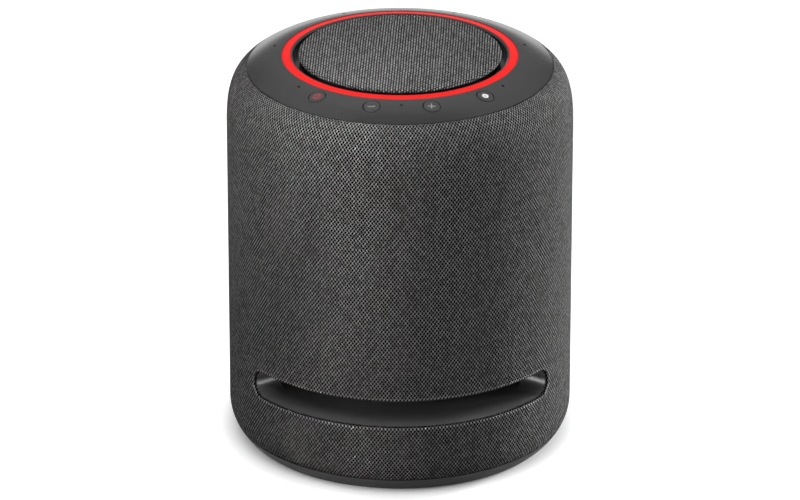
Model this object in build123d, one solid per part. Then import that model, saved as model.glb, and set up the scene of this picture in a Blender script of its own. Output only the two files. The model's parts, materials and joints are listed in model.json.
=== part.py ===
from build123d import *
import os
from math import asin, cos, degrees, hypot, radians, sin, sqrt

# A round smart speaker: a fabric-covered body with a bass slot low at the front, a control ring with
# four buttons and a light ring on top, and one downward, three midrange and one high driver inside.
# Millimetres, +Z up. The origin is the middle of the foot's underside, and the front faces -Y.
# An azimuth is measured from the front, positive towards +X.

# Outer form
body_radius = 87.5
overall_height = 206.5
base_curve_radius = 23.0
base_curve_height = 18.5
shoulder_radius = 22.0
shoulder_inset = 10.5
crown_rise = 7.6
dome_radius = 40.0
dome_run = 21.0

# Clearances, and how far a cut runs past the face that it leaves
glue_gap = 0.1
fit_gap = 0.3
cut_over = 1.0

# Cover and its stiff shell
fabric_thickness = 1.2
shell_thickness = 2.6
grille_slot_width = 3.2
grille_slot_length = 56.0
grille_slot_count = 7
grille_slot_pitch = 5.5

# Base
foot_thickness = 2.0
foot_width = 10.0
foot_inset = 12.5
foot_step = 0.6
tray_floor = 3.0
tray_rim_height = 8.0
tray_spigot_rise = 5.0
tray_spigot_wall = 2.4

# Bass slot and the chamber behind it
slot_bottom = 38.7
slot_height = 13.9
slot_half_angle = 58.0
liner_wall = 1.6
liner_depth = 14.4
deflector_floor = 3.0
deflector_seat_width = 9.5
deflector_dome_radius = 44.0
deflector_dome_height = 11.3
deflector_wall = 3.0
deflector_wall_margin = 5.0
post_radius = 4.0
post_inset = 7.0
post_azimuths = (30, 130, 230, 330)

# Cabinet and deck
cabinet_gap = 4.6
cabinet_wall = 3.0
chamber_rise = 1.8
baffle_thickness = 4.0
boss_radius = 3.5
boss_length = 16.0
boss_azimuths = (45, 135, 225, 315)
chamber_boss_azimuths = (80, 150, 210, 280)
pad_thickness = 4.5
pad_rim = 2.5
side_driver_drop = 36.0
deck_plate = 3.0
deck_top_plate = 2.5
deck_rise = 17.0
deck_wall = 2.5
deck_edge_gap = 0.5

# Control ring, from its edge inwards
bezel_width = 17.4
bezel_wall = 2.2
bezel_skirt = 2.4
bezel_drop = 5.9
ring_gap = 0.15
ring_width = 4.3
ring_recess = 0.25
ring_rise = 0.7
ring_head = 2.45
ring_stem = 1.7
lip_width = 1.5
lip_drop = 0.1
well_depth = 5.0
well_floor = 1.5
well_ledge = 6.0
well_leg = 2.0

# Fabric panel in the top
panel_gap = 2.25
panel_crown = 0.35
panel_edge_radius = 1.8
panel_fabric = 0.9
panel_skirt_gap = 0.6
panel_hole_radius = 1.6
panel_hole_pitch = 7.0
panel_hole_rings = 5
panel_hole_count = 6

# Buttons and microphones
button_radius = 4.0
button_inset = 10.3
button_azimuth_step = 25.7
button_gap = 0.5
button_proud = 0.25
button_dish = 0.35
button_rim = 0.9
button_edge_radius = 0.3
button_travel = 0.5
button_flange_width = 1.0
button_flange_thickness = 0.8
button_stem_radius = 1.4
mic_count = 7
mic_hole_radius = 0.8
mic_inset = 12.2
mic_radius = 2.4
mic_height = 1.2
mic_gasket_bore = 1.0

# Boards
board_thickness = 1.5
ring_board_gap = 0.8
led_count = 12
led_size = 2.6
led_height = 0.8
switch_size = 4.6
switch_height = 1.6
main_board_front = -30.0
main_board_margin = 3.4
main_board_back_gap = 4.0
standoff_radius = 3.0
standoff_inset = 5.0
processor_size = 18.0
amplifier_size = 14.0
chip_height = 2.0
capacitor_radius = 5.0
capacitor_count = 4
capacitor_pitch = 12.0
headroom = 4.5
heat_sink_length = 34.0
heat_sink_width = 30.0
heat_sink_plate = 2.5
heat_sink_fins = 7
fin_thickness = 1.4

# Sockets at the back
socket_panel_width = 54.0
socket_panel_wall = 2.0
socket_panel_plate = 2.5
socket_panel_recess = 9.5
socket_spacing = 15.0
socket_rise = 5.4
power_body = 11.0
power_depth = 13.5
power_nose_radius = 4.6
power_bore_radius = 3.0
power_bore_depth = 10.0
power_pin_radius = 1.0
power_pin_length = 9.0
audio_body = 8.0
audio_depth = 14.5
audio_nose_radius = 3.4
audio_bore_radius = 1.8
audio_bore_depth = 14.0
service_width = 8.0
service_height = 3.2
service_depth = 10.0
service_wall = 0.5
service_cavity_depth = 6.0

# Woofer, firing down. Depths are measured along its own axis.
woofer_edge_gap = 2.0
woofer_flange_width = 6.0
woofer_flange = 3.0
woofer_basket_wall = 2.0
woofer_roll_span = 11.0
woofer_roll_height = 4.5
woofer_cone_depth = 24.0
woofer_spider_drop = 5.0
woofer_spider_room = 8.0
woofer_spider_radius = 36.0
woofer_spider_ledge = 4.0
woofer_coil_radius = 19.0
woofer_coil_wall = 1.2
woofer_plate_radius = 38.0
woofer_plate = 6.0
woofer_magnet_radius = 40.0
woofer_magnet_clearance = 5.3
woofer_magnet = 18.0
woofer_back = 6.0
woofer_cap_overlap = 3.8
woofer_cap_height = 7.0
woofer_paper = 0.8
woofer_lip = 2.0
woofer_window_count = 6
woofer_window_width = 30.0

# Midrange driver, measured the same way
mid_flange_radius = 29.5
mid_flange_width = 5.2
mid_flange = 2.0
mid_basket_wall = 1.7
mid_roll_span = 5.1
mid_roll_height = 2.2
mid_cone_depth = 8.0
mid_spider_drop = 6.0
mid_spider_room = 4.0
mid_spider_radius = 15.0
mid_spider_ledge = 1.5
mid_coil_radius = 7.0
mid_coil_wall = 0.8
mid_plate_radius = 17.0
mid_plate = 3.0
mid_magnet_radius = 18.0
mid_magnet_clearance = 2.2
mid_magnet = 7.0
mid_back = 3.0
mid_cap_overlap = 2.0
mid_cap_height = 3.0
mid_paper = 0.6
mid_lip = 1.6

# Tweeter, measured the same way
tweeter_flange_width = 4.5
tweeter_flange = 2.5
tweeter_flare = 3.9
tweeter_throat_gap = 0.8
tweeter_dome_radius = 12.8
tweeter_dome_height = 3.6
tweeter_dome_wall = 0.5
tweeter_coil_wall = 0.7
tweeter_coil_length = 6.0
tweeter_motor_wall = 2.7
tweeter_motor_back = 6.5

# Voice-coil running gap and the pleats of a spider
coil_gap = 0.5
spider_pleats = 8

# Screws
screw_gap = 0.1
head_gap = 0.4
large_head_radius = 2.8
large_head_height = 1.6
large_shank_radius = 1.25
small_head_radius = 1.7
small_head_height = 1.2
small_shank_radius = 0.9
base_screw_length = 14.0
cabinet_screw_length = 14.0
chamber_screw_length = 14.0
deck_screw_length = 7.0
woofer_screw_length = 6.5
board_screw_length = 6.0
driver_screw_length = 5.0
woofer_screw_count = 6
mid_screw_count = 4
tweeter_screw_count = 3
bezel_boss_radius = 2.6
bezel_boss_inset = 5.8

# Radii that follow from the sizes above
bezel_edge_radius = body_radius - shoulder_inset
dome_centre_radius = bezel_edge_radius - dome_run
bezel_inner = bezel_edge_radius - bezel_width
ring_outer_radius = bezel_inner - ring_gap
ring_inner_radius = ring_outer_radius - ring_width
well_outer = ring_inner_radius - ring_gap
well_radius = well_outer - lip_width
well_leg_inner = well_radius - well_ledge
well_leg_outer = well_leg_inner + well_leg
panel_radius = well_radius - panel_gap
button_circle_radius = bezel_edge_radius - button_inset
button_flange_radius = button_radius + button_flange_width
mic_circle_radius = bezel_edge_radius - mic_inset
bezel_boss_circle = bezel_edge_radius - bezel_boss_inset
skirt_inner = bezel_edge_radius - bezel_skirt
shell_outer_offset = fabric_thickness + glue_gap
shell_inner_offset = shell_outer_offset + shell_thickness
cabinet_radius = body_radius - shell_inner_offset - cabinet_gap
boss_circle = cabinet_radius - cabinet_wall - boss_radius + glue_gap
liner_outer_radius = body_radius - shell_outer_offset
liner_inner_radius = liner_outer_radius - liner_depth
foot_outer_radius = body_radius - foot_inset
foot_inner_radius = foot_outer_radius - foot_width
post_circle_radius = foot_inner_radius - post_inset
woofer_flange_radius = boss_circle - boss_radius - woofer_edge_gap
woofer_basket_radius = woofer_flange_radius - woofer_flange_width
woofer_screw_circle = woofer_flange_radius - large_head_radius
mid_basket_radius = mid_flange_radius - mid_flange_width
mid_screw_circle = mid_flange_radius - small_head_radius - screw_gap
socket_face_depth = body_radius - socket_panel_recess
socket_back_depth = socket_face_depth - socket_panel_plate

# Heights that follow from the sizes above
base_centre = (body_radius - base_curve_radius, base_curve_height)
bezel_edge_height = overall_height - crown_rise
shoulder_rise = sqrt(shoulder_radius**2 - (shoulder_radius - shoulder_inset) ** 2)
shoulder_start = bezel_edge_height - shoulder_rise
shoulder_centre = (body_radius - shoulder_radius, shoulder_start)
dome_centre = (dome_centre_radius, bezel_edge_height - sqrt(dome_radius**2 - dome_run**2))
tray_top_face = foot_step + tray_floor
tray_spigot_top = tray_rim_height + tray_spigot_rise
slot_middle = slot_bottom + slot_height / 2
slot_round_angle = slot_half_angle - degrees(asin(slot_height / 2 / body_radius))
liner_seat = slot_bottom - liner_wall
deflector_underside = slot_bottom - deflector_floor
seat_underside = liner_seat - deflector_floor
socket_panel_top = seat_underside - fit_gap
socket_height = (tray_spigot_top + socket_panel_top) / 2
main_board_top = socket_height - socket_rise
main_board_height = main_board_top - board_thickness
cabinet_bottom = slot_bottom + slot_height + liner_wall + chamber_rise
baffle_top = cabinet_bottom + baffle_thickness
deck_top = bezel_edge_height - bezel_drop
cabinet_top = deck_top - deck_rise
side_driver_height = cabinet_top - side_driver_drop
board_top = deck_top + board_thickness

# Patterns round the axis
button_azimuths = [button_azimuth_step * turn for turn in (-1.5, -0.5, 0.5, 1.5)]
mic_azimuths = [360 / mic_count * turn for turn in range(mic_count)]
bezel_boss_azimuths = [360 / mic_count * (turn + 0.5) for turn in range(mic_count)]


# Points and solids of revolution
def around(radius, azimuth, height=0.0):
    return (radius * sin(radians(azimuth)), -radius * cos(radians(azimuth)), height)


def arc_middle(centre, start, end):
    radius = hypot(start[0] - centre[0], start[1] - centre[1])
    across = (start[0] + end[0] - 2 * centre[0], start[1] + end[1] - 2 * centre[1])
    length = hypot(across[0], across[1])
    return (centre[0] + radius * across[0] / length, centre[1] + radius * across[1] / length)


# A point of an outline is (radius, height). A third entry is the centre of the arc that leads to it.
def turned(outline, angle=360):
    edges = []
    for start, end in zip(outline, outline[1:] + outline[:1]):
        first = (start[0], 0, start[1])
        last = (end[0], 0, end[1])
        if len(end) == 3:
            middle = arc_middle(end[2], start, end)
            edges.append(ThreePointArc(first, (middle[0], 0, middle[1]), last))
        else:
            edges.append(Line(first, last))
    return revolve(make_face(edges), axis=Axis.Z, revolution_arc=angle)


def tube(inner, outer, low, high):
    return turned([(inner, low), (outer, low), (outer, high), (inner, high)])


def rod(radius, low, high):
    return Pos(0, 0, (low + high) / 2) * Cylinder(radius, high - low)


def block(x_range, y_range, z_range):
    size = [high - low for low, high in (x_range, y_range, z_range)]
    middle = [(low + high) / 2 for low, high in (x_range, y_range, z_range)]
    return Pos(*middle) * Box(*size)


def spread(solid, radius, azimuths, height=0.0):
    return [Pos(*around(radius, azimuth, height)) * solid for azimuth in azimuths]


def even_azimuths(count):
    return [360 / count * (turn + 0.5) for turn in range(count)]


# A pan-head screw with its seat at the origin, pointing down
def screw(head_radius, head_height, shank_radius, length):
    return rod(head_radius, 0, head_height) + rod(shank_radius, -length, 0)


large_screw = (large_head_radius, large_head_height, large_shank_radius)
small_screw = (small_head_radius, small_head_height, small_shank_radius)
large_screw_hole = large_shank_radius + screw_gap
small_screw_hole = small_shank_radius + screw_gap


# Heights of the outer form, at a depth below its surface
def base_point(depth, height):
    drop = base_curve_height - height
    return (base_centre[0] + sqrt((base_curve_radius - depth) ** 2 - drop**2), height)


def shoulder_point(depth, radius):
    run = radius - shoulder_centre[0]
    return (radius, shoulder_start + sqrt((shoulder_radius - depth) ** 2 - run**2))


def dome_height(radius, depth=0.0):
    return dome_centre[1] + sqrt((dome_radius - depth) ** 2 - (radius - dome_centre_radius) ** 2)


# A skin of the body between two depths below its surface, open at the top and the bottom
def skin(outer_depth, inner_depth, bottom, top_radius):
    outer = body_radius - outer_depth
    inner = body_radius - inner_depth
    outline = [
        base_point(outer_depth, bottom),
        (outer, base_curve_height, base_centre),
        (outer, shoulder_start),
        shoulder_point(outer_depth, top_radius) + (shoulder_centre,),
        shoulder_point(inner_depth, top_radius),
        (inner, shoulder_start, shoulder_centre),
        (inner, base_curve_height),
        base_point(inner_depth, bottom) + (base_centre,),
    ]
    return turned(outline)


# The space of the bass slot, grown outwards all round: a band with rounded ends
def slot_space(grow, inner, outer):
    half = slot_height / 2 + grow
    low = slot_middle - half
    high = slot_middle + half
    outline = [(inner, low), (outer, low), (outer, high), (inner, high)]
    band = Rot(0, 0, -90 - slot_round_angle) * turned(outline, 2 * slot_round_angle)
    end = Pos(0, -(inner + outer) / 2, slot_middle) * Rot(90, 0, 0) * Cylinder(half, outer - inner)
    return band + Rot(0, 0, slot_round_angle) * end + Rot(0, 0, -slot_round_angle) * end


# The window for the sockets at the back, grown outwards all round
def port_space(grow, front, back):
    half = socket_panel_width / 2 + grow
    return block((-half, half), (front, back), (tray_spigot_top - grow, socket_panel_top + grow))


parts = {}
beyond = body_radius + cut_over

# Cover, stiff shell and base
slot_cut = slot_space(0, liner_inner_radius, beyond)
shell_slot_cut = slot_space(liner_wall + fit_gap, liner_inner_radius, beyond)
port_cut = port_space(fit_gap, liner_inner_radius, beyond)
skin_top_radius = bezel_edge_radius + fit_gap
fabric = skin(0, fabric_thickness, tray_rim_height + fit_gap, skin_top_radius)
parts["fabric_sleeve"] = fabric - slot_cut - port_cut

shell = skin(shell_outer_offset, shell_inner_offset, tray_rim_height, skin_top_radius)
grille_cuts = []
for side in (-90, 0, 90):
    for step in range(grille_slot_count):
        lean = degrees((step - (grille_slot_count - 1) / 2) * grille_slot_pitch / body_radius)
        bar = Box(grille_slot_width, 2 * (shell_thickness + cut_over), grille_slot_length)
        middle = around(body_radius - shell_inner_offset, side + lean, side_driver_height)
        grille_cuts.append(Pos(*middle) * Rot(0, 0, side + lean) * bar)
parts["grille_shell"] = shell - shell_slot_cut - port_cut - grille_cuts

rim_inner = base_point(shell_inner_offset, tray_rim_height)[0] - fit_gap
tray_outline = [
    (0, foot_step),
    base_point(0, foot_step),
    base_point(0, tray_rim_height) + (base_centre,),
    (rim_inner, tray_rim_height),
    (rim_inner, tray_spigot_top),
    (rim_inner - tray_spigot_wall, tray_spigot_top),
    (rim_inner - tray_spigot_wall, tray_top_face),
    (0, tray_top_face),
]
foot_groove = tube(
    foot_inner_radius - glue_gap, foot_outer_radius + glue_gap, -cut_over, foot_thickness
)
rear_post = around(post_circle_radius, post_azimuths[1])
main_board_half = rear_post[0] - post_radius - main_board_margin
main_board_back = socket_back_depth - main_board_back_gap
standoff_places = [
    (side * (main_board_half - standoff_inset), end)
    for side in (-1, 1)
    for end in (main_board_front + standoff_inset, rear_post[1] + standoff_inset)
]
standoff = rod(standoff_radius, tray_top_face, main_board_height)
head_pocket = rod(large_head_radius + head_gap, -cut_over, foot_step + large_head_height)
base_hole = head_pocket + rod(large_screw_hole, -cut_over, tray_top_face + cut_over)
board_screw_low = main_board_top - board_screw_length
board_screw_hole = rod(small_screw_hole, board_screw_low, main_board_top + cut_over)
board_screw_holes = [Pos(x, y) * board_screw_hole for x, y in standoff_places]
tray = turned(tray_outline) + [Pos(x, y) * standoff for x, y in standoff_places]
base_holes = spread(base_hole, post_circle_radius, post_azimuths)
parts["base_tray"] = tray - board_screw_holes - foot_groove - base_holes
parts["rubber_foot"] = tube(foot_inner_radius, foot_outer_radius, 0, foot_thickness)

# Slot liner and the deflector under the woofer
liner_limits = tube(liner_inner_radius, liner_outer_radius, 0, cabinet_bottom)
liner_body = slot_space(liner_wall, liner_inner_radius - liner_wall, beyond)
liner_void = slot_space(0, liner_inner_radius - 2 * liner_wall, beyond + liner_wall)
parts["slot_liner"] = (liner_body - liner_void) & liner_limits

lens_radius = (deflector_dome_radius**2 + deflector_dome_height**2) / (2 * deflector_dome_height)
lens_centre = (0, slot_bottom + deflector_dome_height - lens_radius)
under_radius = lens_radius - deflector_floor
under_reach = sqrt(under_radius**2 - (deflector_underside - lens_centre[1]) ** 2)
seat_outer = cabinet_radius + fit_gap
floor_outline = [
    (0, lens_centre[1] + under_radius),
    (under_reach, deflector_underside, lens_centre),
    (seat_outer - deflector_seat_width, deflector_underside),
    (seat_outer - deflector_seat_width, seat_underside),
    (seat_outer, seat_underside),
    (seat_outer, liner_seat),
    (liner_inner_radius - glue_gap, liner_seat),
    (liner_inner_radius - glue_gap, slot_bottom),
    (deflector_dome_radius, slot_bottom),
    (0, slot_bottom + deflector_dome_height, lens_centre),
]
wall_outline = [
    (cabinet_radius - deflector_wall, liner_seat),
    (cabinet_radius, liner_seat),
    (cabinet_radius, cabinet_bottom),
    (cabinet_radius - deflector_wall, cabinet_bottom),
]
wall_start = slot_half_angle + deflector_wall_margin
back_wall = turned(wall_outline, 360 - 2 * wall_start)
post = rod(post_radius, tray_top_face, deflector_underside)
post_hole = rod(large_screw_hole, tray_top_face - cut_over, tray_top_face + base_screw_length)
deflector = turned(floor_outline) + Rot(0, 0, wall_start - 90) * back_wall
deflector = deflector + spread(post, post_circle_radius, post_azimuths)
deflector = deflector - spread(post_hole, post_circle_radius, post_azimuths)
chamber_boss = rod(boss_radius, liner_seat, cabinet_bottom)
chamber_hole = rod(large_screw_hole, baffle_top - chamber_screw_length, baffle_top + cut_over)
chamber_holes = spread(chamber_hole, boss_circle, chamber_boss_azimuths)
deflector = deflector + spread(chamber_boss, boss_circle, chamber_boss_azimuths)
parts["deflector"] = deflector - chamber_holes
chamber_screw = screw(*large_screw, chamber_screw_length)
chamber_screws = spread(chamber_screw, boss_circle, chamber_boss_azimuths, baffle_top)
parts["chamber_screws"] = Compound(chamber_screws)
base_screw = Rot(180, 0, 0) * screw(*large_screw, base_screw_length)
base_screw_seat = foot_step + large_head_height
parts["base_screws"] = Compound(spread(base_screw, post_circle_radius, post_azimuths, base_screw_seat))


# The pieces of a cone driver, its mounting face at zero height, firing upwards
def cone_driver(
    flange_radius, flange_width, flange, wall, roll_span, roll_height, cone_depth, spider_drop,
    spider_room, spider_radius, spider_ledge, coil_radius, coil_wall, plate_radius, plate,
    magnet_radius, magnet_clearance, magnet, back, cap_overlap, cap_height, paper, lip, bond,
):
    basket_radius = flange_radius - flange_width
    opening = basket_radius - wall
    cone_radius = opening - roll_span
    coil_outer = coil_radius + coil_wall
    plate_bore = coil_outer + coil_gap
    cap_radius = coil_outer + cap_overlap
    ledge_inner = spider_radius - spider_ledge
    ledge_depth = cone_depth - flange + spider_drop
    depth = ledge_depth + spider_room
    frame = turned(
        [
            (flange_radius, 0),
            (flange_radius, flange),
            (opening, flange),
            (opening, 0),
            (spider_radius + glue_gap, -ledge_depth),
            (ledge_inner, -ledge_depth),
            (ledge_inner, wall - depth),
            (plate_bore, wall - depth),
            (plate_bore, -depth),
            (spider_radius + 2 * wall, -depth),
            (basket_radius, 0),
        ]
    )
    plate_low = -depth - plate
    magnet_low = plate_low - magnet
    pole = rod(coil_radius - coil_gap, magnet_low, -depth)
    neck = flange - cone_depth
    cone_step = cap_radius + paper
    cone_outline = [
        (coil_outer + bond, neck),
        (cone_step, neck),
        (cone_radius - lip, flange - paper),
        (cone_radius, flange - paper),
        (cone_radius, flange),
        (cone_radius - lip, flange),
        (cone_step, neck + paper),
        (coil_outer + bond, neck + paper),
    ]
    cap_seat = neck + paper
    cap_sphere = (cap_radius**2 + cap_height**2) / (2 * cap_height)
    cap_centre = (0, cap_seat + cap_height - cap_sphere)
    cap_inner = sqrt((cap_sphere - paper) ** 2 - (cap_sphere - cap_height) ** 2)
    cap_outline = [
        (cap_radius, cap_seat),
        (0, cap_seat + cap_height, cap_centre),
        (0, cap_seat + cap_height - paper),
        (cap_inner, cap_seat, cap_centre),
    ]
    roll_radius = ((roll_span / 2) ** 2 + roll_height**2) / (2 * roll_height)
    roll_centre = ((opening + cone_radius) / 2, flange + roll_height - roll_radius)
    roll_reach = sqrt((roll_radius + paper) ** 2 - (flange + paper - roll_centre[1]) ** 2)
    surround_outline = [
        (cone_radius - lip, flange),
        (cone_radius, flange),
        (opening, flange, roll_centre),
        (opening + lip, flange),
        (opening + lip, flange + paper),
        (roll_centre[0] + roll_reach, flange + paper),
        (roll_centre[0] - roll_reach, flange + paper, roll_centre),
        (cone_radius - lip, flange + paper),
    ]
    pleat = (ledge_inner - coil_outer - glue_gap) / spider_pleats
    spider_top = [
        (coil_outer + glue_gap + pleat * turn, paper - ledge_depth + paper * (0, 1, 0, -1)[turn % 4])
        for turn in range(spider_pleats + 1)
    ]
    spider_top.append((spider_radius, paper - ledge_depth))
    spider_low = [(radius, height - paper) for radius, height in reversed(spider_top)]
    return {
        "frame": frame,
        "plate": tube(plate_bore, plate_radius, plate_low, -depth),
        "magnet": tube(plate_bore + magnet_clearance, magnet_radius, magnet_low, plate_low),
        "yoke": rod(plate_radius, magnet_low - back, magnet_low) + pole,
        "cone": turned(cone_outline),
        "cap": turned(cap_outline),
        "coil": tube(coil_radius, coil_outer, plate_low - plate / 2, cap_seat),
        "surround": turned(surround_outline),
        "spider": turned(spider_top + spider_low),
    }


# Woofer, firing down under the cabinet's baffle
woofer = cone_driver(
    woofer_flange_radius, woofer_flange_width, woofer_flange, woofer_basket_wall, woofer_roll_span,
    woofer_roll_height, woofer_cone_depth, woofer_spider_drop, woofer_spider_room,
    woofer_spider_radius, woofer_spider_ledge, woofer_coil_radius, woofer_coil_wall,
    woofer_plate_radius, woofer_plate, woofer_magnet_radius, woofer_magnet_clearance, woofer_magnet,
    woofer_back, woofer_cap_overlap, woofer_cap_height, woofer_paper, woofer_lip, glue_gap,
)
window_span = woofer_basket_radius - woofer_spider_radius + 2 * woofer_basket_wall
window_top = 2 * woofer_basket_wall
window_low = woofer_cone_depth - woofer_flange + woofer_spider_drop - window_top
window = Box(woofer_window_width, window_span, window_low - window_top)
window_middle = (woofer_basket_radius + woofer_spider_radius) / 2
window_level = -(window_top + window_low) / 2
windows = [
    Rot(0, 0, azimuth) * Pos(0, -window_middle, window_level) * window
    for azimuth in even_azimuths(woofer_window_count)
]
woofer_screw_azimuths = even_azimuths(woofer_screw_count)
flange_hole = rod(large_screw_hole, -cut_over, woofer_flange + cut_over)
flange_holes = spread(flange_hole, woofer_screw_circle, woofer_screw_azimuths)
woofer["frame"] = woofer["frame"] - windows - flange_holes
woofer_place = Pos(0, 0, cabinet_bottom) * Rot(180, 0, 0)
woofer_nodes = {
    "woofer_basket": "frame",
    "woofer_top_plate": "plate",
    "woofer_magnet": "magnet",
    "woofer_yoke": "yoke",
    "woofer_cone": "cone",
    "woofer_dust_cap": "cap",
    "woofer_coil": "coil",
    "woofer_surround": "surround",
    "woofer_spider": "spider",
}
for node, piece in woofer_nodes.items():
    parts[node] = woofer_place * woofer[piece]
woofer_screw = screw(*large_screw, woofer_screw_length)
woofer_screws = spread(woofer_screw, woofer_screw_circle, woofer_screw_azimuths, woofer_flange)
parts["woofer_screws"] = Compound([woofer_place * one for one in woofer_screws])

# Midrange drivers: the motor is three discs, and the cone carries its cap and coil
mid = cone_driver(
    mid_flange_radius, mid_flange_width, mid_flange, mid_basket_wall, mid_roll_span, mid_roll_height,
    mid_cone_depth, mid_spider_drop, mid_spider_room, mid_spider_radius, mid_spider_ledge,
    mid_coil_radius, mid_coil_wall, mid_plate_radius, mid_plate, mid_magnet_radius,
    mid_magnet_clearance, mid_magnet, mid_back, mid_cap_overlap, mid_cap_height, mid_paper, mid_lip,
    -mid_coil_wall / 2,
)
driver_screw = screw(*small_screw, driver_screw_length)
mid_screw_azimuths = even_azimuths(mid_screw_count)
mid_hole = rod(small_screw_hole, -driver_screw_length, mid_flange + cut_over)
mid_holes = spread(mid_hole, mid_screw_circle, mid_screw_azimuths)
mid_frame = mid["frame"] - mid_holes
mid_cone = mid["cone"] + mid["cap"] + mid["coil"]
mid_screws = spread(driver_screw, mid_screw_circle, mid_screw_azimuths, mid_flange)

# Tweeter: a dome with its coil, in front of a motor with a ring-shaped gap
coil_outer = tweeter_dome_radius
coil_inner = coil_outer - tweeter_coil_wall
tweeter_throat_radius = tweeter_dome_radius + tweeter_throat_gap
tweeter_mouth_radius = tweeter_throat_radius + tweeter_flare
tweeter_flange_radius = tweeter_mouth_radius + tweeter_flange_width
tweeter_screw_circle = (tweeter_mouth_radius + tweeter_flange_radius) / 2
tweeter_motor_radius = coil_outer + coil_gap + tweeter_motor_wall
tweeter_groove_depth = tweeter_coil_length + tweeter_flange
tweeter_motor_depth = tweeter_groove_depth + tweeter_motor_back
tweeter_plate = turned(
    [
        (tweeter_throat_radius, 0),
        (tweeter_flange_radius, 0),
        (tweeter_flange_radius, tweeter_flange),
        (tweeter_mouth_radius, tweeter_flange),
        (tweeter_throat_radius, tweeter_flange / 2),
    ]
)
tweeter_motor = turned(
    [
        (0, -tweeter_motor_depth),
        (tweeter_motor_radius, -tweeter_motor_depth),
        (tweeter_motor_radius, 0),
        (coil_outer + coil_gap, 0),
        (coil_outer + coil_gap, -tweeter_groove_depth),
        (coil_inner - coil_gap, -tweeter_groove_depth),
        (coil_inner - coil_gap, -coil_gap),
        (0, -coil_gap),
    ]
)
dome_sphere = (tweeter_dome_radius**2 + tweeter_dome_height**2) / (2 * tweeter_dome_height)
tweeter_dome_centre = (0, tweeter_dome_height - dome_sphere)
dome_inside = sqrt((dome_sphere - tweeter_dome_wall) ** 2 - (dome_sphere - tweeter_dome_height) ** 2)
tweeter_dome = turned(
    [
        (coil_outer, -tweeter_coil_length),
        (coil_outer, 0),
        (0, tweeter_dome_height, tweeter_dome_centre),
        (0, tweeter_dome_height - tweeter_dome_wall),
        (dome_inside, 0, tweeter_dome_centre),
        (coil_inner, 0),
        (coil_inner, -tweeter_coil_length),
    ]
)
tweeter_azimuths = even_azimuths(tweeter_screw_count)
tweeter_hole = rod(small_screw_hole, -driver_screw_length, tweeter_flange + cut_over)
tweeter_holes = spread(tweeter_hole, tweeter_screw_circle, tweeter_azimuths)
tweeter_screws = spread(driver_screw, tweeter_screw_circle, tweeter_azimuths, tweeter_flange)


# Where a driver stands in the cabinet's wall: a flat pad in a round recess
def pad_distance(recess):
    return sqrt(cabinet_radius**2 - recess**2) - fit_gap


def pad_place(azimuth, recess):
    outward = around(pad_distance(recess), azimuth, side_driver_height)
    return Pos(*outward) * Rot(0, 0, azimuth) * Rot(90, 0, 0)


mid_recess = mid_flange_radius + 2 * fit_gap
tweeter_recess = tweeter_flange_radius + 2 * fit_gap
left_place = pad_place(-90, mid_recess)
right_place = pad_place(90, mid_recess)
front_place = pad_place(0, tweeter_recess)
top_place = Pos(0, 0, deck_top)
for side, place in (("left", left_place), ("right", right_place), ("top", top_place)):
    motor = [place * mid[piece] for piece in ("plate", "magnet", "yoke")]
    parts[side + "_mid_frame"] = place * mid_frame
    parts[side + "_mid_motor"] = Compound(motor)
    parts[side + "_mid_cone"] = place * mid_cone
    parts[side + "_mid_surround"] = place * mid["surround"]
parts["tweeter_plate"] = front_place * (tweeter_plate - tweeter_holes)
parts["tweeter_motor"] = front_place * tweeter_motor
parts["tweeter_dome"] = front_place * tweeter_dome
driver_screws = [place * one for place in (left_place, right_place, top_place) for one in mid_screws]
driver_screws = driver_screws + [front_place * one for one in tweeter_screws]
parts["driver_screws"] = Compound(driver_screws)

# Cabinet: a tub whose floor is the woofer's baffle
cabinet_outline = [
    (woofer_basket_radius + fit_gap, cabinet_bottom),
    (cabinet_radius, cabinet_bottom),
    (cabinet_radius, cabinet_top),
    (cabinet_radius - cabinet_wall, cabinet_top),
    (cabinet_radius - cabinet_wall, baffle_top),
    (woofer_basket_radius + fit_gap, baffle_top),
]
boss = rod(boss_radius, cabinet_top - boss_length, cabinet_top)
cabinet_limits = rod(cabinet_radius, cabinet_bottom, cabinet_top)
openings = [
    (left_place, mid_recess, mid_basket_radius, mid_holes),
    (right_place, mid_recess, mid_basket_radius, mid_holes),
    (front_place, tweeter_recess, tweeter_motor_radius, tweeter_holes),
]
cabinet = turned(cabinet_outline) + spread(boss, boss_circle, boss_azimuths)
for place, recess, opening, holes in openings:
    reach = cabinet_radius - pad_distance(recess)
    pad = place * rod(recess + pad_rim, -pad_thickness, reach)
    hollow = rod(recess, 0, 2 * reach) + rod(opening + fit_gap, -2 * pad_thickness, reach)
    cabinet = cabinet + (pad & cabinet_limits)
    cabinet = cabinet - place * hollow - [place * hole for hole in holes]
boss_hole = rod(large_screw_hole, cabinet_top - cabinet_screw_length, cabinet_top + deck_plate + cut_over)
boss_holes = spread(boss_hole, boss_circle, boss_azimuths)
baffle_hole = rod(large_screw_hole, cabinet_bottom - cut_over, cabinet_bottom + woofer_screw_length)
turned_azimuths = [180 - azimuth for azimuth in woofer_screw_azimuths]
baffle_holes = spread(baffle_hole, woofer_screw_circle, turned_azimuths)
parts["cabinet"] = cabinet - boss_holes - baffle_holes - chamber_holes

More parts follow.
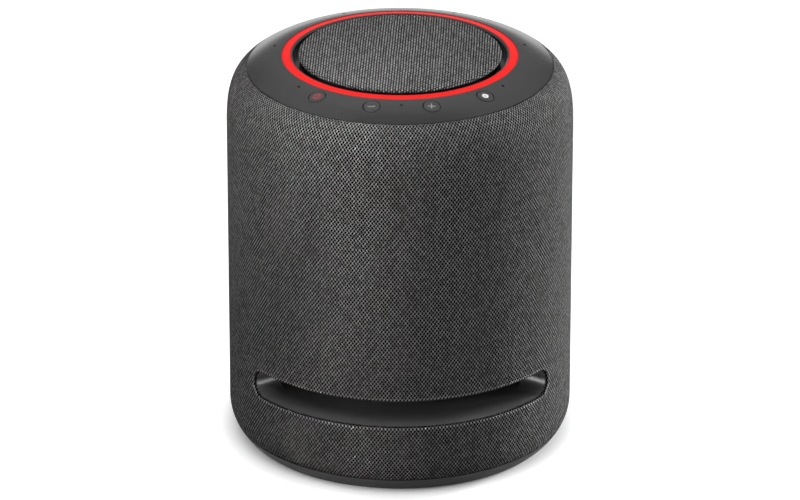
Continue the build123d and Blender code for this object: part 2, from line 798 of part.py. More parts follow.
# Deck: the cabinet's lid, raised in the middle to carry the control ring
deck_hole = mid_basket_radius + fit_gap
deck_step = deck_top - deck_top_plate
deck_low = cabinet_top + deck_plate
deck_wall_outer = well_radius + lip_width
deck = turned(
    [
        (deck_hole, cabinet_top),
        (cabinet_radius, cabinet_top),
        (cabinet_radius, deck_low),
        (deck_wall_outer, deck_low),
        (deck_wall_outer, deck_step),
        (bezel_edge_radius - deck_edge_gap, deck_step),
        (bezel_edge_radius - deck_edge_gap, deck_top),
        (deck_hole, deck_top),
        (deck_hole, deck_step),
        (deck_wall_outer - deck_wall, deck_step),
        (deck_wall_outer - deck_wall, deck_low),
        (deck_hole, deck_low),
    ]
)
top_holes = [top_place * hole for hole in mid_holes]
deck_hole_cut = rod(large_screw_hole, deck_step - cut_over, deck_top + cut_over)
deck_holes = spread(deck_hole_cut, bezel_boss_circle, bezel_boss_azimuths)
parts["top_deck"] = deck - boss_holes - top_holes - deck_holes
cabinet_screw = screw(*large_screw, cabinet_screw_length)
parts["cabinet_screws"] = Compound(spread(cabinet_screw, boss_circle, boss_azimuths, deck_low))
deck_screw = Rot(180, 0, 0) * screw(*large_screw, deck_screw_length)
deck_screws = spread(deck_screw, bezel_boss_circle, bezel_boss_azimuths, deck_step)
parts["deck_screws"] = Compound(deck_screws)

# Control ring with its screw bosses, button holes and microphone holes
rim_outer = bezel_inner + bezel_wall
ring_outer_height = dome_height(bezel_inner) - ring_recess
ring_inner_height = ring_outer_height + ring_rise
ring_seat_height = ring_outer_height - ring_head
lip_height = ring_inner_height - lip_drop
well_floor_height = lip_height - well_depth
bezel_rim_bottom = well_floor_height - well_floor
bezel = turned(
    [
        (bezel_inner, dome_height(bezel_inner)),
        (bezel_edge_radius, bezel_edge_height, dome_centre),
        (bezel_edge_radius, deck_top),
        (skirt_inner, deck_top),
        (skirt_inner, dome_height(skirt_inner, bezel_wall)),
        (rim_outer, dome_height(rim_outer, bezel_wall), dome_centre),
        (rim_outer, bezel_rim_bottom),
        (bezel_inner, bezel_rim_bottom),
    ]
)


# Everything under the control ring's surface, at a depth below it
def under_dome(depth):
    low = deck_top - cut_over
    return turned(
        [
            (dome_centre_radius, low),
            (bezel_edge_radius, low),
            (bezel_edge_radius, dome_height(bezel_edge_radius, depth)),
            (dome_centre_radius, dome_height(dome_centre_radius, depth), dome_centre),
        ]
    )


bezel_boss = rod(bezel_boss_radius, deck_top, overall_height)
boss_limits = under_dome(bezel_wall / 2)
bosses = [one & boss_limits for one in spread(bezel_boss, bezel_boss_circle, bezel_boss_azimuths)]
boss_bore = rod(large_screw_hole, deck_top - cut_over, deck_step + deck_screw_length)
button_hole = rod(button_radius + button_gap, deck_top, overall_height)
mic_hole = rod(mic_hole_radius, deck_top, overall_height)
bezel = bezel + bosses - spread(boss_bore, bezel_boss_circle, bezel_boss_azimuths)
bezel = bezel - spread(button_hole, button_circle_radius, button_azimuths)
parts["top_bezel"] = bezel - spread(mic_hole, mic_circle_radius, mic_azimuths)

# Light ring on its stem, and the well that holds the fabric panel
stem_bottom = board_top + led_height + fit_gap
stem_middle = (ring_inner_radius + ring_outer_radius) / 2
stem_inner = stem_middle - ring_stem / 2
stem_outer = stem_middle + ring_stem / 2
parts["light_ring"] = turned(
    [
        (stem_inner, stem_bottom),
        (stem_outer, stem_bottom),
        (stem_outer, ring_seat_height),
        (ring_outer_radius, ring_seat_height),
        (ring_outer_radius, ring_outer_height),
        (ring_inner_radius, ring_inner_height),
        (ring_inner_radius, ring_seat_height),
        (stem_inner, ring_seat_height),
    ]
)
well_seat_radius = stem_inner - ring_gap
lip_centre = (well_outer, lip_height - lip_width)
parts["well_ring"] = turned(
    [
        (well_leg_inner, deck_top),
        (well_leg_outer, deck_top),
        (well_leg_outer, bezel_rim_bottom),
        (well_seat_radius, bezel_rim_bottom),
        (well_seat_radius, ring_seat_height),
        (well_outer, ring_seat_height),
        (well_outer, lip_height),
        (well_radius, lip_centre[1], lip_centre),
        (well_radius, well_floor_height),
        (well_leg_inner, well_floor_height),
    ]
)

# Fabric panel over its holed disc
edge_height = overall_height - panel_crown
edge_centre = (panel_radius - panel_edge_radius, edge_height - panel_edge_radius)
crown_reach = panel_radius - panel_edge_radius
crown_sphere = (crown_reach**2 + panel_crown**2) / (2 * panel_crown)
crown_centre = (0, overall_height - crown_sphere)
inside_reach = panel_radius - panel_fabric
inside_edge = edge_height - panel_fabric
parts["top_fabric"] = turned(
    [
        (0, overall_height - panel_fabric),
        (inside_reach, inside_edge, (0, overall_height - panel_fabric - crown_sphere)),
        (inside_reach, well_floor_height + panel_skirt_gap),
        (panel_radius, well_floor_height + panel_skirt_gap),
        (panel_radius, edge_centre[1]),
        (crown_reach, edge_height, edge_centre),
        (0, overall_height, crown_centre),
    ]
)
grille_radius = inside_reach - glue_gap
grille_top = inside_edge - glue_gap
grille_holes = []
for ring in range(1, panel_hole_rings + 1):
    hole = rod(panel_hole_radius, well_floor_height - cut_over, grille_top + cut_over)
    ring_azimuths = even_azimuths(panel_hole_count * ring)
    grille_holes = grille_holes + spread(hole, ring * panel_hole_pitch, ring_azimuths)
parts["top_grille"] = rod(grille_radius, well_floor_height, grille_top) - grille_holes

# Buttons: a dished cap in the control ring, a flange that keeps it in, and a stem over its switch
flange_ceiling = dome_height(button_circle_radius + button_flange_radius, bezel_wall)
flange_top = min(flange_ceiling, bezel_rim_bottom) - fit_gap
flange_low = flange_top - button_flange_thickness
stem_low = board_top + button_travel + fit_gap
button_names = ("mute_button", "volume_down_button", "volume_up_button", "action_button")
cap_limits = under_dome(-button_proud)
slope = asin((button_circle_radius - dome_centre_radius) / dome_radius)
dish_reach = button_radius - button_rim
dish_sphere = (dish_reach**2 + button_dish**2) / (2 * button_dish)
dish_out = dome_radius + button_proud - button_dish + dish_sphere
dish_middle = (dome_centre_radius + dish_out * sin(slope), dome_centre[1] + dish_out * cos(slope))
for name, azimuth in zip(button_names, button_azimuths):
    place = Pos(*around(button_circle_radius, azimuth))
    cap = (place * rod(button_radius, flange_low, overall_height)) & cap_limits
    cap = fillet(cap.faces().sort_by(Axis.Z)[-1].edges(), button_edge_radius)
    cap = cap - Pos(*around(dish_middle[0], azimuth, dish_middle[1])) * Sphere(dish_sphere)
    flange_disc = place * rod(button_flange_radius, flange_low, flange_top)
    stem = place * rod(button_stem_radius, stem_low, flange_low + button_flange_thickness / 2)
    parts[name] = cap + flange_disc + stem

# Ring board with its lights, switches and microphones
board = tube(well_leg_outer + ring_board_gap, skirt_inner - ring_board_gap, deck_top, board_top)
board_hole = rod(bezel_boss_radius + fit_gap, deck_top - cut_over, board_top + cut_over)
parts["ring_board"] = board - spread(board_hole, bezel_boss_circle, bezel_boss_azimuths)
switch_top = board_top + switch_height
switch_bore = rod(button_stem_radius + fit_gap, board_top - cut_over, switch_top + cut_over)
switch_side = (-switch_size / 2, switch_size / 2)
switch = block(switch_side, switch_side, (board_top, switch_top)) - switch_bore
parts["button_switches"] = Compound(spread(switch, button_circle_radius, button_azimuths))
led_side = (-led_size / 2, led_size / 2)
led = block(led_side, led_side, (board_top, board_top + led_height))
parts["ring_leds"] = Compound(spread(led, stem_middle, even_azimuths(led_count)))
mic_top = board_top + mic_height
gasket_top = dome_height(mic_circle_radius + mic_radius, bezel_wall) - glue_gap
mic = rod(mic_radius, board_top, mic_top)
gasket = tube(mic_gasket_bore, mic_radius, mic_top, gasket_top)
parts["microphones"] = Compound(spread(mic, mic_circle_radius, mic_azimuths))
parts["mic_gaskets"] = Compound(spread(gasket, mic_circle_radius, mic_azimuths))

# Main board with its parts, in the base
board_side = (-main_board_half, main_board_half)
board_run = (main_board_front, main_board_back)
bare_board = block(board_side, board_run, (main_board_height, main_board_top))
parts["main_board"] = bare_board - board_screw_holes
board_screw = screw(*small_screw, board_screw_length)
parts["board_screws"] = Compound([Pos(x, y, main_board_top) * board_screw for x, y in standoff_places])
chip_top = main_board_top + chip_height
chip_line = main_board_front + heat_sink_width / 2 + standoff_inset
half_amplifier = amplifier_size / 2
half_processor = processor_size / 2
processor_line = chip_line + heat_sink_width + half_processor
amplifier = block(
    (-half_amplifier, half_amplifier),
    (chip_line - half_amplifier, chip_line + half_amplifier),
    (main_board_top, chip_top),
)
processor = block(
    (-half_processor, half_processor),
    (processor_line - half_processor, processor_line + half_processor),
    (main_board_top, chip_top),
)
component_top = deflector_underside - headroom
capacitor = rod(capacitor_radius, main_board_top, component_top)
capacitor_line = chip_line + 2 * capacitor_pitch
capacitor_places = [
    (side * (main_board_half - capacitor_pitch), capacitor_line + capacitor_pitch * step)
    for side in (-1, 1)
    for step in range(capacitor_count // 2)
]
capacitors = [Pos(x, y) * capacitor for x, y in capacitor_places]
parts["board_components"] = Compound([amplifier, processor] + capacitors)
sink_side = (-heat_sink_length / 2, heat_sink_length / 2)
sink_run = (chip_line - heat_sink_width / 2, chip_line + heat_sink_width / 2)
sink = block(sink_side, sink_run, (chip_top, chip_top + heat_sink_plate))
fin_pitch = (heat_sink_length - fin_thickness) / (heat_sink_fins - 1)
for turn in range(heat_sink_fins):
    start = -heat_sink_length / 2 + turn * fin_pitch
    fin_levels = (chip_top + heat_sink_plate / 2, component_top)
    sink = sink + block((start, start + fin_thickness), sink_run, fin_levels)
parts["heat_sink"] = sink

# Socket panel at the back, and the three sockets that show in it
skin_limits = rod(body_radius - fabric_thickness, 0, cabinet_bottom)
panel_body = port_space(0, socket_back_depth, beyond) & skin_limits
panel_pocket = port_space(-socket_panel_wall, socket_face_depth, beyond)


def facing_back(x, height=socket_height):
    return Pos(x, socket_face_depth, height) * Rot(-90, 0, 0)


def socket_cut(radius):
    return rod(radius + glue_gap, -2 * socket_panel_plate, socket_panel_plate)


power_place = facing_back(-socket_spacing)
audio_place = facing_back(0)
service_place = facing_back(socket_spacing)
service_cut = Pos(0, 0, -socket_panel_plate / 2) * Box(
    service_width + 2 * glue_gap, service_height + 2 * glue_gap, 2 * socket_panel_plate
)
panel = panel_body - panel_pocket - power_place * socket_cut(power_nose_radius)
parts["port_panel"] = panel - audio_place * socket_cut(audio_nose_radius) - service_place * service_cut


# A socket's body reaches down to the board, behind the panel
def socket_body(width, depth):
    low = -socket_panel_plate - glue_gap - depth
    drop = socket_height - main_board_top
    return block((-width / 2, width / 2), (-width / 2, drop), (low, -socket_panel_plate - glue_gap))


power_socket = socket_body(power_body, power_depth) + rod(power_nose_radius, -2 * socket_panel_plate, 0)
power_bore = rod(power_bore_radius, -power_bore_depth, cut_over)
power_pin = rod(power_pin_radius, -power_bore_depth - cut_over, power_pin_length - power_bore_depth)
parts["power_socket"] = power_place * (power_socket - power_bore + power_pin)
audio_socket = socket_body(audio_body, audio_depth) + rod(audio_nose_radius, -2 * socket_panel_plate, 0)
audio_bore = rod(audio_bore_radius, -audio_bore_depth, cut_over)
parts["audio_socket"] = audio_place * (audio_socket - audio_bore)
service_shell = block(
    (-service_width / 2, service_width / 2),
    (-service_height / 2, service_height / 2),
    (-service_depth, 0),
)
service_void = block(
    (service_wall - service_width / 2, service_width / 2 - service_wall),
    (service_wall - service_height / 2, service_height / 2 - service_wall),
    (-service_cavity_depth, cut_over),
)
service_foot = socket_body(service_width, service_depth - socket_panel_plate)
parts["service_socket"] = service_place * (service_shell + service_foot - service_void)

os.makedirs("parts", exist_ok=True)
for node, solid in parts.items():
    export_step(solid, "parts/" + node + ".step")
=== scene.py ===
import json

import bpy
import numpy as np
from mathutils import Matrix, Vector


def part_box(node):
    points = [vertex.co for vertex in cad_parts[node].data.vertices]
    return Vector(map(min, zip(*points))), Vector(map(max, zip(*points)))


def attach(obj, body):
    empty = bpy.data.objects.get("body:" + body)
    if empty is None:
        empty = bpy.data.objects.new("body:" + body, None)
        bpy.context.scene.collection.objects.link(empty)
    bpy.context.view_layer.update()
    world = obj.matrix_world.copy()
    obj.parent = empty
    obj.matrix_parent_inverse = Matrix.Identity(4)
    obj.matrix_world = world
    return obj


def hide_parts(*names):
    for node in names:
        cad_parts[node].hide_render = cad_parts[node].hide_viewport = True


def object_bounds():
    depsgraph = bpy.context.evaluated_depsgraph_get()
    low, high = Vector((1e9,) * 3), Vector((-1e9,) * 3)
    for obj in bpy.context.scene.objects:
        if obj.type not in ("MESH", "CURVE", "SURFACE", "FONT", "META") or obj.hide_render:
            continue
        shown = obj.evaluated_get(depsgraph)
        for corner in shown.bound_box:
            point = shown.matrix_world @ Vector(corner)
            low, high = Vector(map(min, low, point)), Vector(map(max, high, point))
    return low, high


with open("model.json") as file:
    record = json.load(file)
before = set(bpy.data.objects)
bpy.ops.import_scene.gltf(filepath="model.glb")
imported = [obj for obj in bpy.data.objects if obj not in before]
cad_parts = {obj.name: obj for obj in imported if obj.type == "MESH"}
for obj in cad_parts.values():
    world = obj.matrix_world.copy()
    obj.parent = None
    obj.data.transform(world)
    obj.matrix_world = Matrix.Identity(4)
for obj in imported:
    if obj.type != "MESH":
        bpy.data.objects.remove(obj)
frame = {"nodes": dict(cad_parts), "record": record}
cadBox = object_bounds()
nodes = frame["nodes"]
scene = bpy.context.scene
print("frame:", len(nodes), "nodes")

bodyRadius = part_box("fabric_sleeve")[1].x
bodyTop = cadBox[1].z


# Meshes

# Quads of a grid of rows by columns, numbered row by row. With wrap, the last column meets the first.
def gridFaces(rows, columns, wrap=False):
    row, column = np.mgrid[0:rows - 1, 0:columns if wrap else columns - 1]
    beside = (column + 1) % columns
    corners = [row * columns + column, row * columns + beside]
    corners += [(row + 1) * columns + beside, (row + 1) * columns + column]
    return np.stack(corners, -1).reshape(-1, 4)


def makePiece(name, points, faces, material, flatMap=None):
    mesh = bpy.data.meshes.new(name)
    faceList = [face for group in faces for face in np.asarray(group).tolist()]
    mesh.from_pydata(np.asarray(points).reshape(-1, 3).tolist(), [], faceList)
    mesh.polygons.foreach_set("use_smooth", np.ones(len(mesh.polygons), bool))
    if flatMap is not None:
        corners = np.empty(len(mesh.loops), int)
        mesh.loops.foreach_get("vertex_index", corners)
        layer = mesh.uv_layers.new(name="cloth")
        layer.uv.foreach_set("vector", seamSafe(flatMap[corners], mesh).astype(np.float32).ravel())
    mesh.materials.append(material)
    mesh.update()
    piece = bpy.data.objects.new(name, mesh)
    scene.collection.objects.link(piece)
    return piece


# Corners of a face that crosses the seam at the back get their place past the end of the map
def seamSafe(corners, mesh):
    starts = np.empty(len(mesh.polygons), int)
    mesh.polygons.foreach_get("loop_start", starts)
    counts = np.diff(np.append(starts, len(corners)))
    furthest = np.repeat(np.maximum.reduceat(corners[:, 0], starts), counts)
    corners[:, 0] += furthest - corners[:, 0] > 0.5
    return corners


# A profile of (radius, height) points turned once round Z: x = r sin(turn), y = -r cos(turn)
def turnedPoints(profile, turns):
    radius, height = np.asarray(profile).T[:, :, None]
    flat = np.zeros_like(turns)
    return np.stack([radius * np.sin(turns), -radius * np.cos(turns), height + flat], -1)


# Points of an arc about a centre, from one angle to another, in degrees, anticlockwise from +X
def arcPoints(centre, radius, start, end, count):
    angle = np.radians(np.linspace(start, end, count))
    return np.stack([centre[0] + radius * np.cos(angle), centre[1] + radius * np.sin(angle)], -1)


def addModifier(piece, kind, **settings):
    modifier = piece.modifiers.new(kind.title(), kind)
    for key, value in settings.items():
        setattr(modifier, key, value)


# Shader helpers

def feed(tree, socket, value):
    if isinstance(value, bpy.types.NodeSocket):
        tree.links.new(value, socket)
    else:
        socket.default_value = value


def addNode(tree, kind, inputs=None, **settings):
    node = tree.nodes.new("ShaderNode" + kind)
    for key, value in settings.items():
        setattr(node, key, value)
    for key, value in (inputs or {}).items():
        feed(tree, node.inputs[key], value)
    return node


def calc(tree, operation, *values):
    node = addNode(tree, "Math", operation=operation)
    for place, value in enumerate(values):
        feed(tree, node.inputs[place], value)
    return node.outputs[0]


def mapRange(tree, value, low, high, toLow=0.0, toHigh=1.0):
    inputs = {"Value": value, "From Min": low, "From Max": high, "To Min": toLow, "To Max": toHigh}
    return addNode(tree, "MapRange", inputs).outputs[0]


def mixColour(tree, factor, first, second):
    node = addNode(tree, "Mix", data_type="RGBA")
    for place, value in ((0, factor), (6, first), (7, second)):
        feed(tree, node.inputs[place], value)
    return node.outputs[2]


def newGroup(name, inputs, outputs):
    group = bpy.data.node_groups.new(name, "ShaderNodeTree")
    for socket, kind, value in inputs:
        made = group.interface.new_socket(socket, in_out="INPUT", socket_type="NodeSocket" + kind)
        if value is not None:
            made.default_value = value
    for socket, kind in outputs:
        group.interface.new_socket(socket, in_out="OUTPUT", socket_type="NodeSocket" + kind)
    given = group.nodes.new("NodeGroupInput").outputs
    wanted = group.nodes.new("NodeGroupOutput").inputs
    return group, given, wanted


def placeGroup(tree, group, inputs):
    node = tree.nodes.new("ShaderNodeGroup")
    node.node_tree = group
    for key, value in inputs.items():
        feed(tree, node.inputs[key], value)
    return node.outputs


def newMaterial(name):
    material = bpy.data.materials.new(name)
    material.use_nodes = True
    tree = material.node_tree
    return material, tree, tree.nodes["Principled BSDF"]


def grey(level):
    return (level, level, level, 1.0)


# X, Y and Z of a texture coordinate
def splitPlace(tree, kind):
    place = addNode(tree, "TexCoord").outputs[kind]
    return addNode(tree, "SeparateXYZ", {0: place}).outputs


# Distance from the upright axis: sqrt(x^2 + y^2)
def fromAxis(tree, place):
    square = calc(tree, "MULTIPLY", place[1], place[1])
    return calc(tree, "SQRT", calc(tree, "MULTIPLY_ADD", place[0], place[0], square))


# A surface with no gloss
def makeMatt(shader, roughness):
    shader.inputs["Roughness"].default_value = roughness
    shader.inputs["Specular IOR Level"].default_value = 0.0


# Shader groups

weaveForm = {
    "proud": 0.63, "low": 0.58,      # mean lift of the yarns that climb to the right, and of the others
    "yarnAndShadeMask": (0.25, 0.85),        # heights between which yarn takes over from gap: dark holes in the cloth, and painted shade on the yarns' low edges and dips
    "plyWaves": 3,                   # half waves of the ply from one crossing to the next
}


# Cloth woven on the slant: two sets of round yarns cross, over and under in turn, and leave a small hole
# at each corner. With p = across + along and q = across - along, a yarn's section is 1 - (2(q - 1/2)/w)^2,
# and it rises and dips by sin(pi p) from one crossing to the next.
def makeSlantWeave(form):
    group, given, wanted = newGroup(
        "slantWeave",
        [("Across", "Float", 0.0), ("Along", "Float", 0.0), ("Yarn Width", "Float", 0.9)],
        [("Height", "Float"), ("Yarn", "Float"), ("Tone", "Float"), ("Ply", "Float")],
    )
    p = calc(group, "ADD", given["Across"], given["Along"])
    q = calc(group, "SUBTRACT", given["Across"], given["Along"])
    cellP = calc(group, "FLOOR", p)
    cellQ = calc(group, "FLOOR", q)
    inP = calc(group, "SUBTRACT", p, cellP)
    inQ = calc(group, "SUBTRACT", q, cellQ)
    odd = calc(group, "FLOORED_MODULO", calc(group, "ADD", cellP, cellQ), 2.0)
    over = calc(group, "SUBTRACT", calc(group, "MULTIPLY", odd, 2.0), 1.0)

    def yarn(acrossIt, alongIt, side, middle):
        off = calc(group, "DIVIDE", calc(group, "SUBTRACT", acrossIt, 0.5), given["Yarn Width"])
        square = calc(group, "POWER", calc(group, "MULTIPLY", off, 2.0), 2.0)
        section = calc(group, "SUBTRACT", 1.0, square)
        rise = calc(group, "SINE", calc(group, "MULTIPLY", alongIt, np.pi))
        lift = calc(group, "MULTIPLY_ADD", calc(group, "MULTIPLY", rise, side), 1.0 - middle, middle)
        return calc(group, "MULTIPLY", calc(group, "MAXIMUM", section, 0.0), lift)

    first = yarn(inQ, inP, over, form["proud"])
    second = yarn(inP, inQ, calc(group, "MULTIPLY", over, -1.0), form["low"])
    height = calc(group, "MAXIMUM", first, second)
    onTop = calc(group, "GREATER_THAN", first, second)
    strand = addNode(group, "CombineXYZ", {"X": cellP, "Y": cellQ, "Z": onTop})
    spot = addNode(group, "TexWhiteNoise", {"Vector": strand.outputs[0]}, noise_dimensions="3D")
    lean = calc(group, "MULTIPLY_ADD", onTop, 2.0, -1.0)
    twist = calc(group, "MULTIPLY", calc(group, "MULTIPLY_ADD", q, lean, p), form["plyWaves"] * np.pi)
    ply = calc(group, "SINE", twist)
    feed(group, wanted["Height"], height)
    # Yarn is 0 in the holes and, as painted shade, on the yarns' low edges and dips
    feed(group, wanted["Yarn"], mapRange(group, height, *form["yarnAndShadeMask"]))
    feed(group, wanted["Tone"], spot.outputs["Value"])
    feed(group, wanted["Ply"], mapRange(group, ply, -1.0, 1.0))
    return group


grainForm = {
    "pebbleScale": 2500.0, "pebbleDetail": 2.0,
    "pebbleDepth": 0.0001,           # metres
    "cloudScale": 45.0, "cloudDetail": 3.0,
    "noiseSpan": (0.3, 0.7),         # the noise's values lie mostly between these
}


# Moulded plastic: a fine pebble and a slow change of tone
def makeMouldGrain(form):
    group, given, wanted = newGroup(
        "mouldGrain",
        [("Vector", "Vector", None), ("Pebble Scale", "Float", form["pebbleScale"])],
        [("Pebble", "Float"), ("Cloud", "Float")],
    )

    def noise(scale, detail):
        inputs = {"Vector": given["Vector"], "Scale": scale, "Detail": detail}
        return addNode(group, "TexNoise", inputs).outputs[0]

    cloud = noise(form["cloudScale"], form["cloudDetail"])
    feed(group, wanted["Pebble"], noise(given["Pebble Scale"], form["pebbleDetail"]))
    feed(group, wanted["Cloud"], mapRange(group, cloud, *form["noiseSpan"]))
    return group


slantWeave = makeSlantWeave(weaveForm)
mouldGrain = makeMouldGrain(grainForm)
print("shader groups made")


# Materials

def bump(tree, height, strength, distance):
    inputs = {"Height": height, "Strength": strength, "Distance": distance}
    return addNode(tree, "Bump", inputs).outputs["Normal"]


# A moulded plastic: its colour drifts between two tones, and its pebble shows in gloss and relief
def moulded(
    name, dark, light, smooth, rough, pebbleScale=grainForm["pebbleScale"], relief=0.15, specular=0.5
):
    material, tree, shader = newMaterial(name)
    place = addNode(tree, "TexCoord").outputs["Object"]
    grain = placeGroup(tree, mouldGrain, {"Vector": place, "Pebble Scale": pebbleScale})
    feed(tree, shader.inputs["Base Color"], mixColour(tree, grain["Cloud"], dark, light))
    gloss = mapRange(tree, grain["Pebble"], *grainForm["noiseSpan"], smooth, rough)
    feed(tree, shader.inputs["Roughness"], gloss)
    feed(tree, shader.inputs["Normal"], bump(tree, grain["Pebble"], relief, grainForm["pebbleDepth"]))
    shader.inputs["Specular IOR Level"].default_value = specular
    return material


metalGrain = {"pebbleScale": 900.0, "relief": 0.1}


# A bare or painted metal
def metal(name, dark, light, smooth, rough, metallic=1.0):
    material = moulded(name, dark, light, smooth, rough, **metalGrain)
    material.node_tree.nodes["Principled BSDF"].inputs["Metallic"].default_value = metallic
    return material


sleeveCloth = {
    "around": 300,          # weave periods round the body
    "up": 0.00249,          # one period along the body, metres
    "yarnWidth": 0.535,
    "gap": grey(0.0005),
    "dull": grey(0.13),
    "bright": grey(0.46),
    "foldHighlight": grey(0.6),     # painted highlight on the yarns at the crest of the fold at the bass slot, where the fold faces up to the light
    "fuzzScale": 3500.0,
    "fuzzShare": 0.5, "toneShare": 0.7, "plyShare": 0.25, "shadeDrop": 0.2,   # what a yarn's shade is made of
    "relief": 0.9,
    "plyRelief": 0.12,
    "depth": 0.0004,
    "roughness": 0.9,
}


def makeSleeveCloth(look, length):
    material, tree, shader = newMaterial("sleeveCloth")
    flat = addNode(tree, "UVMap", uv_map="cloth").outputs[0]
    place = addNode(tree, "SeparateXYZ", {0: flat}).outputs
    across = calc(tree, "MULTIPLY", place[0], look["around"])
    along = calc(tree, "MULTIPLY", place[1], length / look["up"])
    weave = placeGroup(
        tree, slantWeave, {"Across": across, "Along": along, "Yarn Width": look["yarnWidth"]}
    )
    body = addNode(tree, "TexCoord").outputs["Object"]
    fuzz = addNode(tree, "TexNoise", {"Vector": body, "Scale": look["fuzzScale"]}).outputs[0]
    tone = calc(tree, "MULTIPLY", weave["Tone"], look["toneShare"])
    shade = calc(tree, "MULTIPLY_ADD", fuzz, look["fuzzShare"], tone)
    shade = calc(tree, "SUBTRACT", shade, look["shadeDrop"])
    shade = calc(tree, "MULTIPLY_ADD", weave["Ply"], look["plyShare"], shade)
    yarnColour = mixColour(tree, shade, look["dull"], look["bright"])
    # The fold attribute paints light along the bass slot: above zero a painted highlight on the fold's crest,
    # below zero painted shade inside it
    fold = addNode(tree, "Attribute", attribute_name="fold").outputs["Fac"]
    yarnColour = mixColour(tree, calc(tree, "MAXIMUM", fold, 0.0), yarnColour, look["foldHighlight"])
    unshaded = calc(tree, "ADD", calc(tree, "MINIMUM", fold, 0.0), 1.0)
    # Painted shade: the gap colour covers the yarns' low parts and the cloth inside the slot's fold
    yarnOutOfShade = calc(tree, "MULTIPLY", weave["Yarn"], unshaded)
    feed(tree, shader.inputs["Base Color"], mixColour(tree, yarnOutOfShade, look["gap"], yarnColour))
    relief = calc(tree, "MULTIPLY_ADD", weave["Ply"], look["plyRelief"], weave["Height"])
    feed(tree, shader.inputs["Normal"], bump(tree, relief, look["relief"], look["depth"]))
    makeMatt(shader, look["roughness"])
    return material


panelCloth = {
    "column": 0.00133,      # from one knitted column to the next, metres
    "stitch": 0.0021,       # one stitch along a column, metres
    "lean": 2.8,            # how far the columns lean from front to back, degrees
    "wanderScale": 60.0, "wander": 0.5,   # how the columns stray sideways, in columns
    "swell": (0.3, 0.7),    # by how much a stitch swells, and its mean height
    "ribAndShadeMask": (0.3, 0.9),  # heights between which yarn takes over from gap: dark gaps between the columns, and painted shade on the ribs' low sides
    "tuckShade": (0.0515, 0.0523),   # the cloth darkens here, where it tucks under, metres from its middle
    "gap": grey(0.012),
    "dull": grey(0.12),
    "bright": grey(0.4),
    "fuzzScale": 3500.0,
    "fuzzShare": 0.4, "toneShare": 0.8,
    "relief": 0.7,
    "depth": 0.0004,
    "roughness": 0.9,
}


# Knitted columns that run from front to back: each is a round rib of stitches, half a stitch out of step
# with its neighbours. The rib's section is sin(pi x), and a stitch swells by cos(2 pi y).
def makePanelCloth(look):
    material, tree, shader = newMaterial("panelCloth")
    place = addNode(tree, "UVMap", uv_map="cloth").outputs[0]
    turned = addNode(tree, "Mapping", {"Vector": place, "Rotation": (0, 0, np.radians(look["lean"]))})
    flat = addNode(tree, "SeparateXYZ", {0: turned.outputs[0]}).outputs
    wander = addNode(tree, "TexNoise", {"Vector": place, "Scale": look["wanderScale"]}).outputs[0]
    sway = calc(tree, "MULTIPLY_ADD", wander, look["wander"], calc(tree, "DIVIDE", flat[0], look["column"]))
    column = calc(tree, "FLOOR", sway)
    rib = calc(tree, "SINE", calc(tree, "MULTIPLY", calc(tree, "SUBTRACT", sway, column), np.pi))
    step = calc(tree, "MULTIPLY_ADD", column, 0.5, calc(tree, "DIVIDE", flat[1], look["stitch"]))
    swell = calc(tree, "COSINE", calc(tree, "MULTIPLY", step, 2 * np.pi))
    height = calc(tree, "MULTIPLY", rib, calc(tree, "MULTIPLY_ADD", swell, *look["swell"]))
    stitch = addNode(tree, "CombineXYZ", {"X": column, "Y": calc(tree, "FLOOR", step)}).outputs[0]
    tone = addNode(tree, "TexWhiteNoise", {"Vector": stitch}, noise_dimensions="2D").outputs["Value"]
    tone = calc(tree, "MULTIPLY", tone, look["toneShare"])
    fuzz = addNode(tree, "TexNoise", {"Vector": place, "Scale": look["fuzzScale"]}).outputs[0]
    shade = calc(tree, "MULTIPLY_ADD", fuzz, look["fuzzShare"], tone)
    yarnColour = mixColour(tree, shade, look["dull"], look["bright"])
    along = addNode(tree, "VectorMath", {0: place}, operation="LENGTH").outputs["Value"]
    unshaded = mapRange(tree, along, *look["tuckShade"], 1.0, 0.0)
    # Painted shade: the ribs' low sides and the tucked edge take the gap colour
    yarnOutOfShade = calc(tree, "MULTIPLY", mapRange(tree, height, *look["ribAndShadeMask"]), unshaded)
    feed(tree, shader.inputs["Base Color"], mixColour(tree, yarnOutOfShade, look["gap"], yarnColour))
    feed(tree, shader.inputs["Normal"], bump(tree, height, look["relief"], look["depth"]))
    makeMatt(shader, look["roughness"])
    return material


ringLight = {
    "glow": (0.9, 0.006, 0.004, 1.0),
    "edge": (0.7, 0.003, 0.002, 1.0),
    "strength": 0.9,
    "middle": 0.00215,            # the brightest line, metres in from the rim
    "fade": (0.0021, 0.0012),     # the glow sets in between these distances from it, metres
    "lamps": 24, "lampGlow": 0.12,
    "unlit": ((0.08, 0.003, 0.003, 1.0), (0.14, 0.005, 0.005, 1.0)),   # the plastic's own edge and middle
    "roughness": 0.5, "specular": 0.15,
}


# The diffuser glows most along the middle of its width, and a little more over each lamp
def makeRingLight(look):
    material, tree, shader = newMaterial("ringLight")
    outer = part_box("light_ring")[1].x
    place = splitPlace(tree, "Object")
    inward = calc(tree, "SUBTRACT", outer, fromAxis(tree, place))
    middle = calc(tree, "ABSOLUTE", calc(tree, "SUBTRACT", inward, look["middle"]))
    turn = calc(tree, "MULTIPLY", calc(tree, "ARCTAN2", place[0], place[1]), look["lamps"])
    lamp = calc(tree, "MULTIPLY", calc(tree, "COSINE", turn), look["lampGlow"])
    glow = calc(tree, "ADD", mapRange(tree, middle, *look["fade"]), lamp)
    feed(tree, shader.inputs["Emission Color"], mixColour(tree, glow, look["edge"], look["glow"]))
    shader.inputs["Emission Strength"].default_value = look["strength"]
    feed(tree, shader.inputs["Base Color"], mixColour(tree, glow, *look["unlit"]))
    shader.inputs["Roughness"].default_value = look["roughness"]
    shader.inputs["Specular IOR Level"].default_value = look["specular"]
    return material


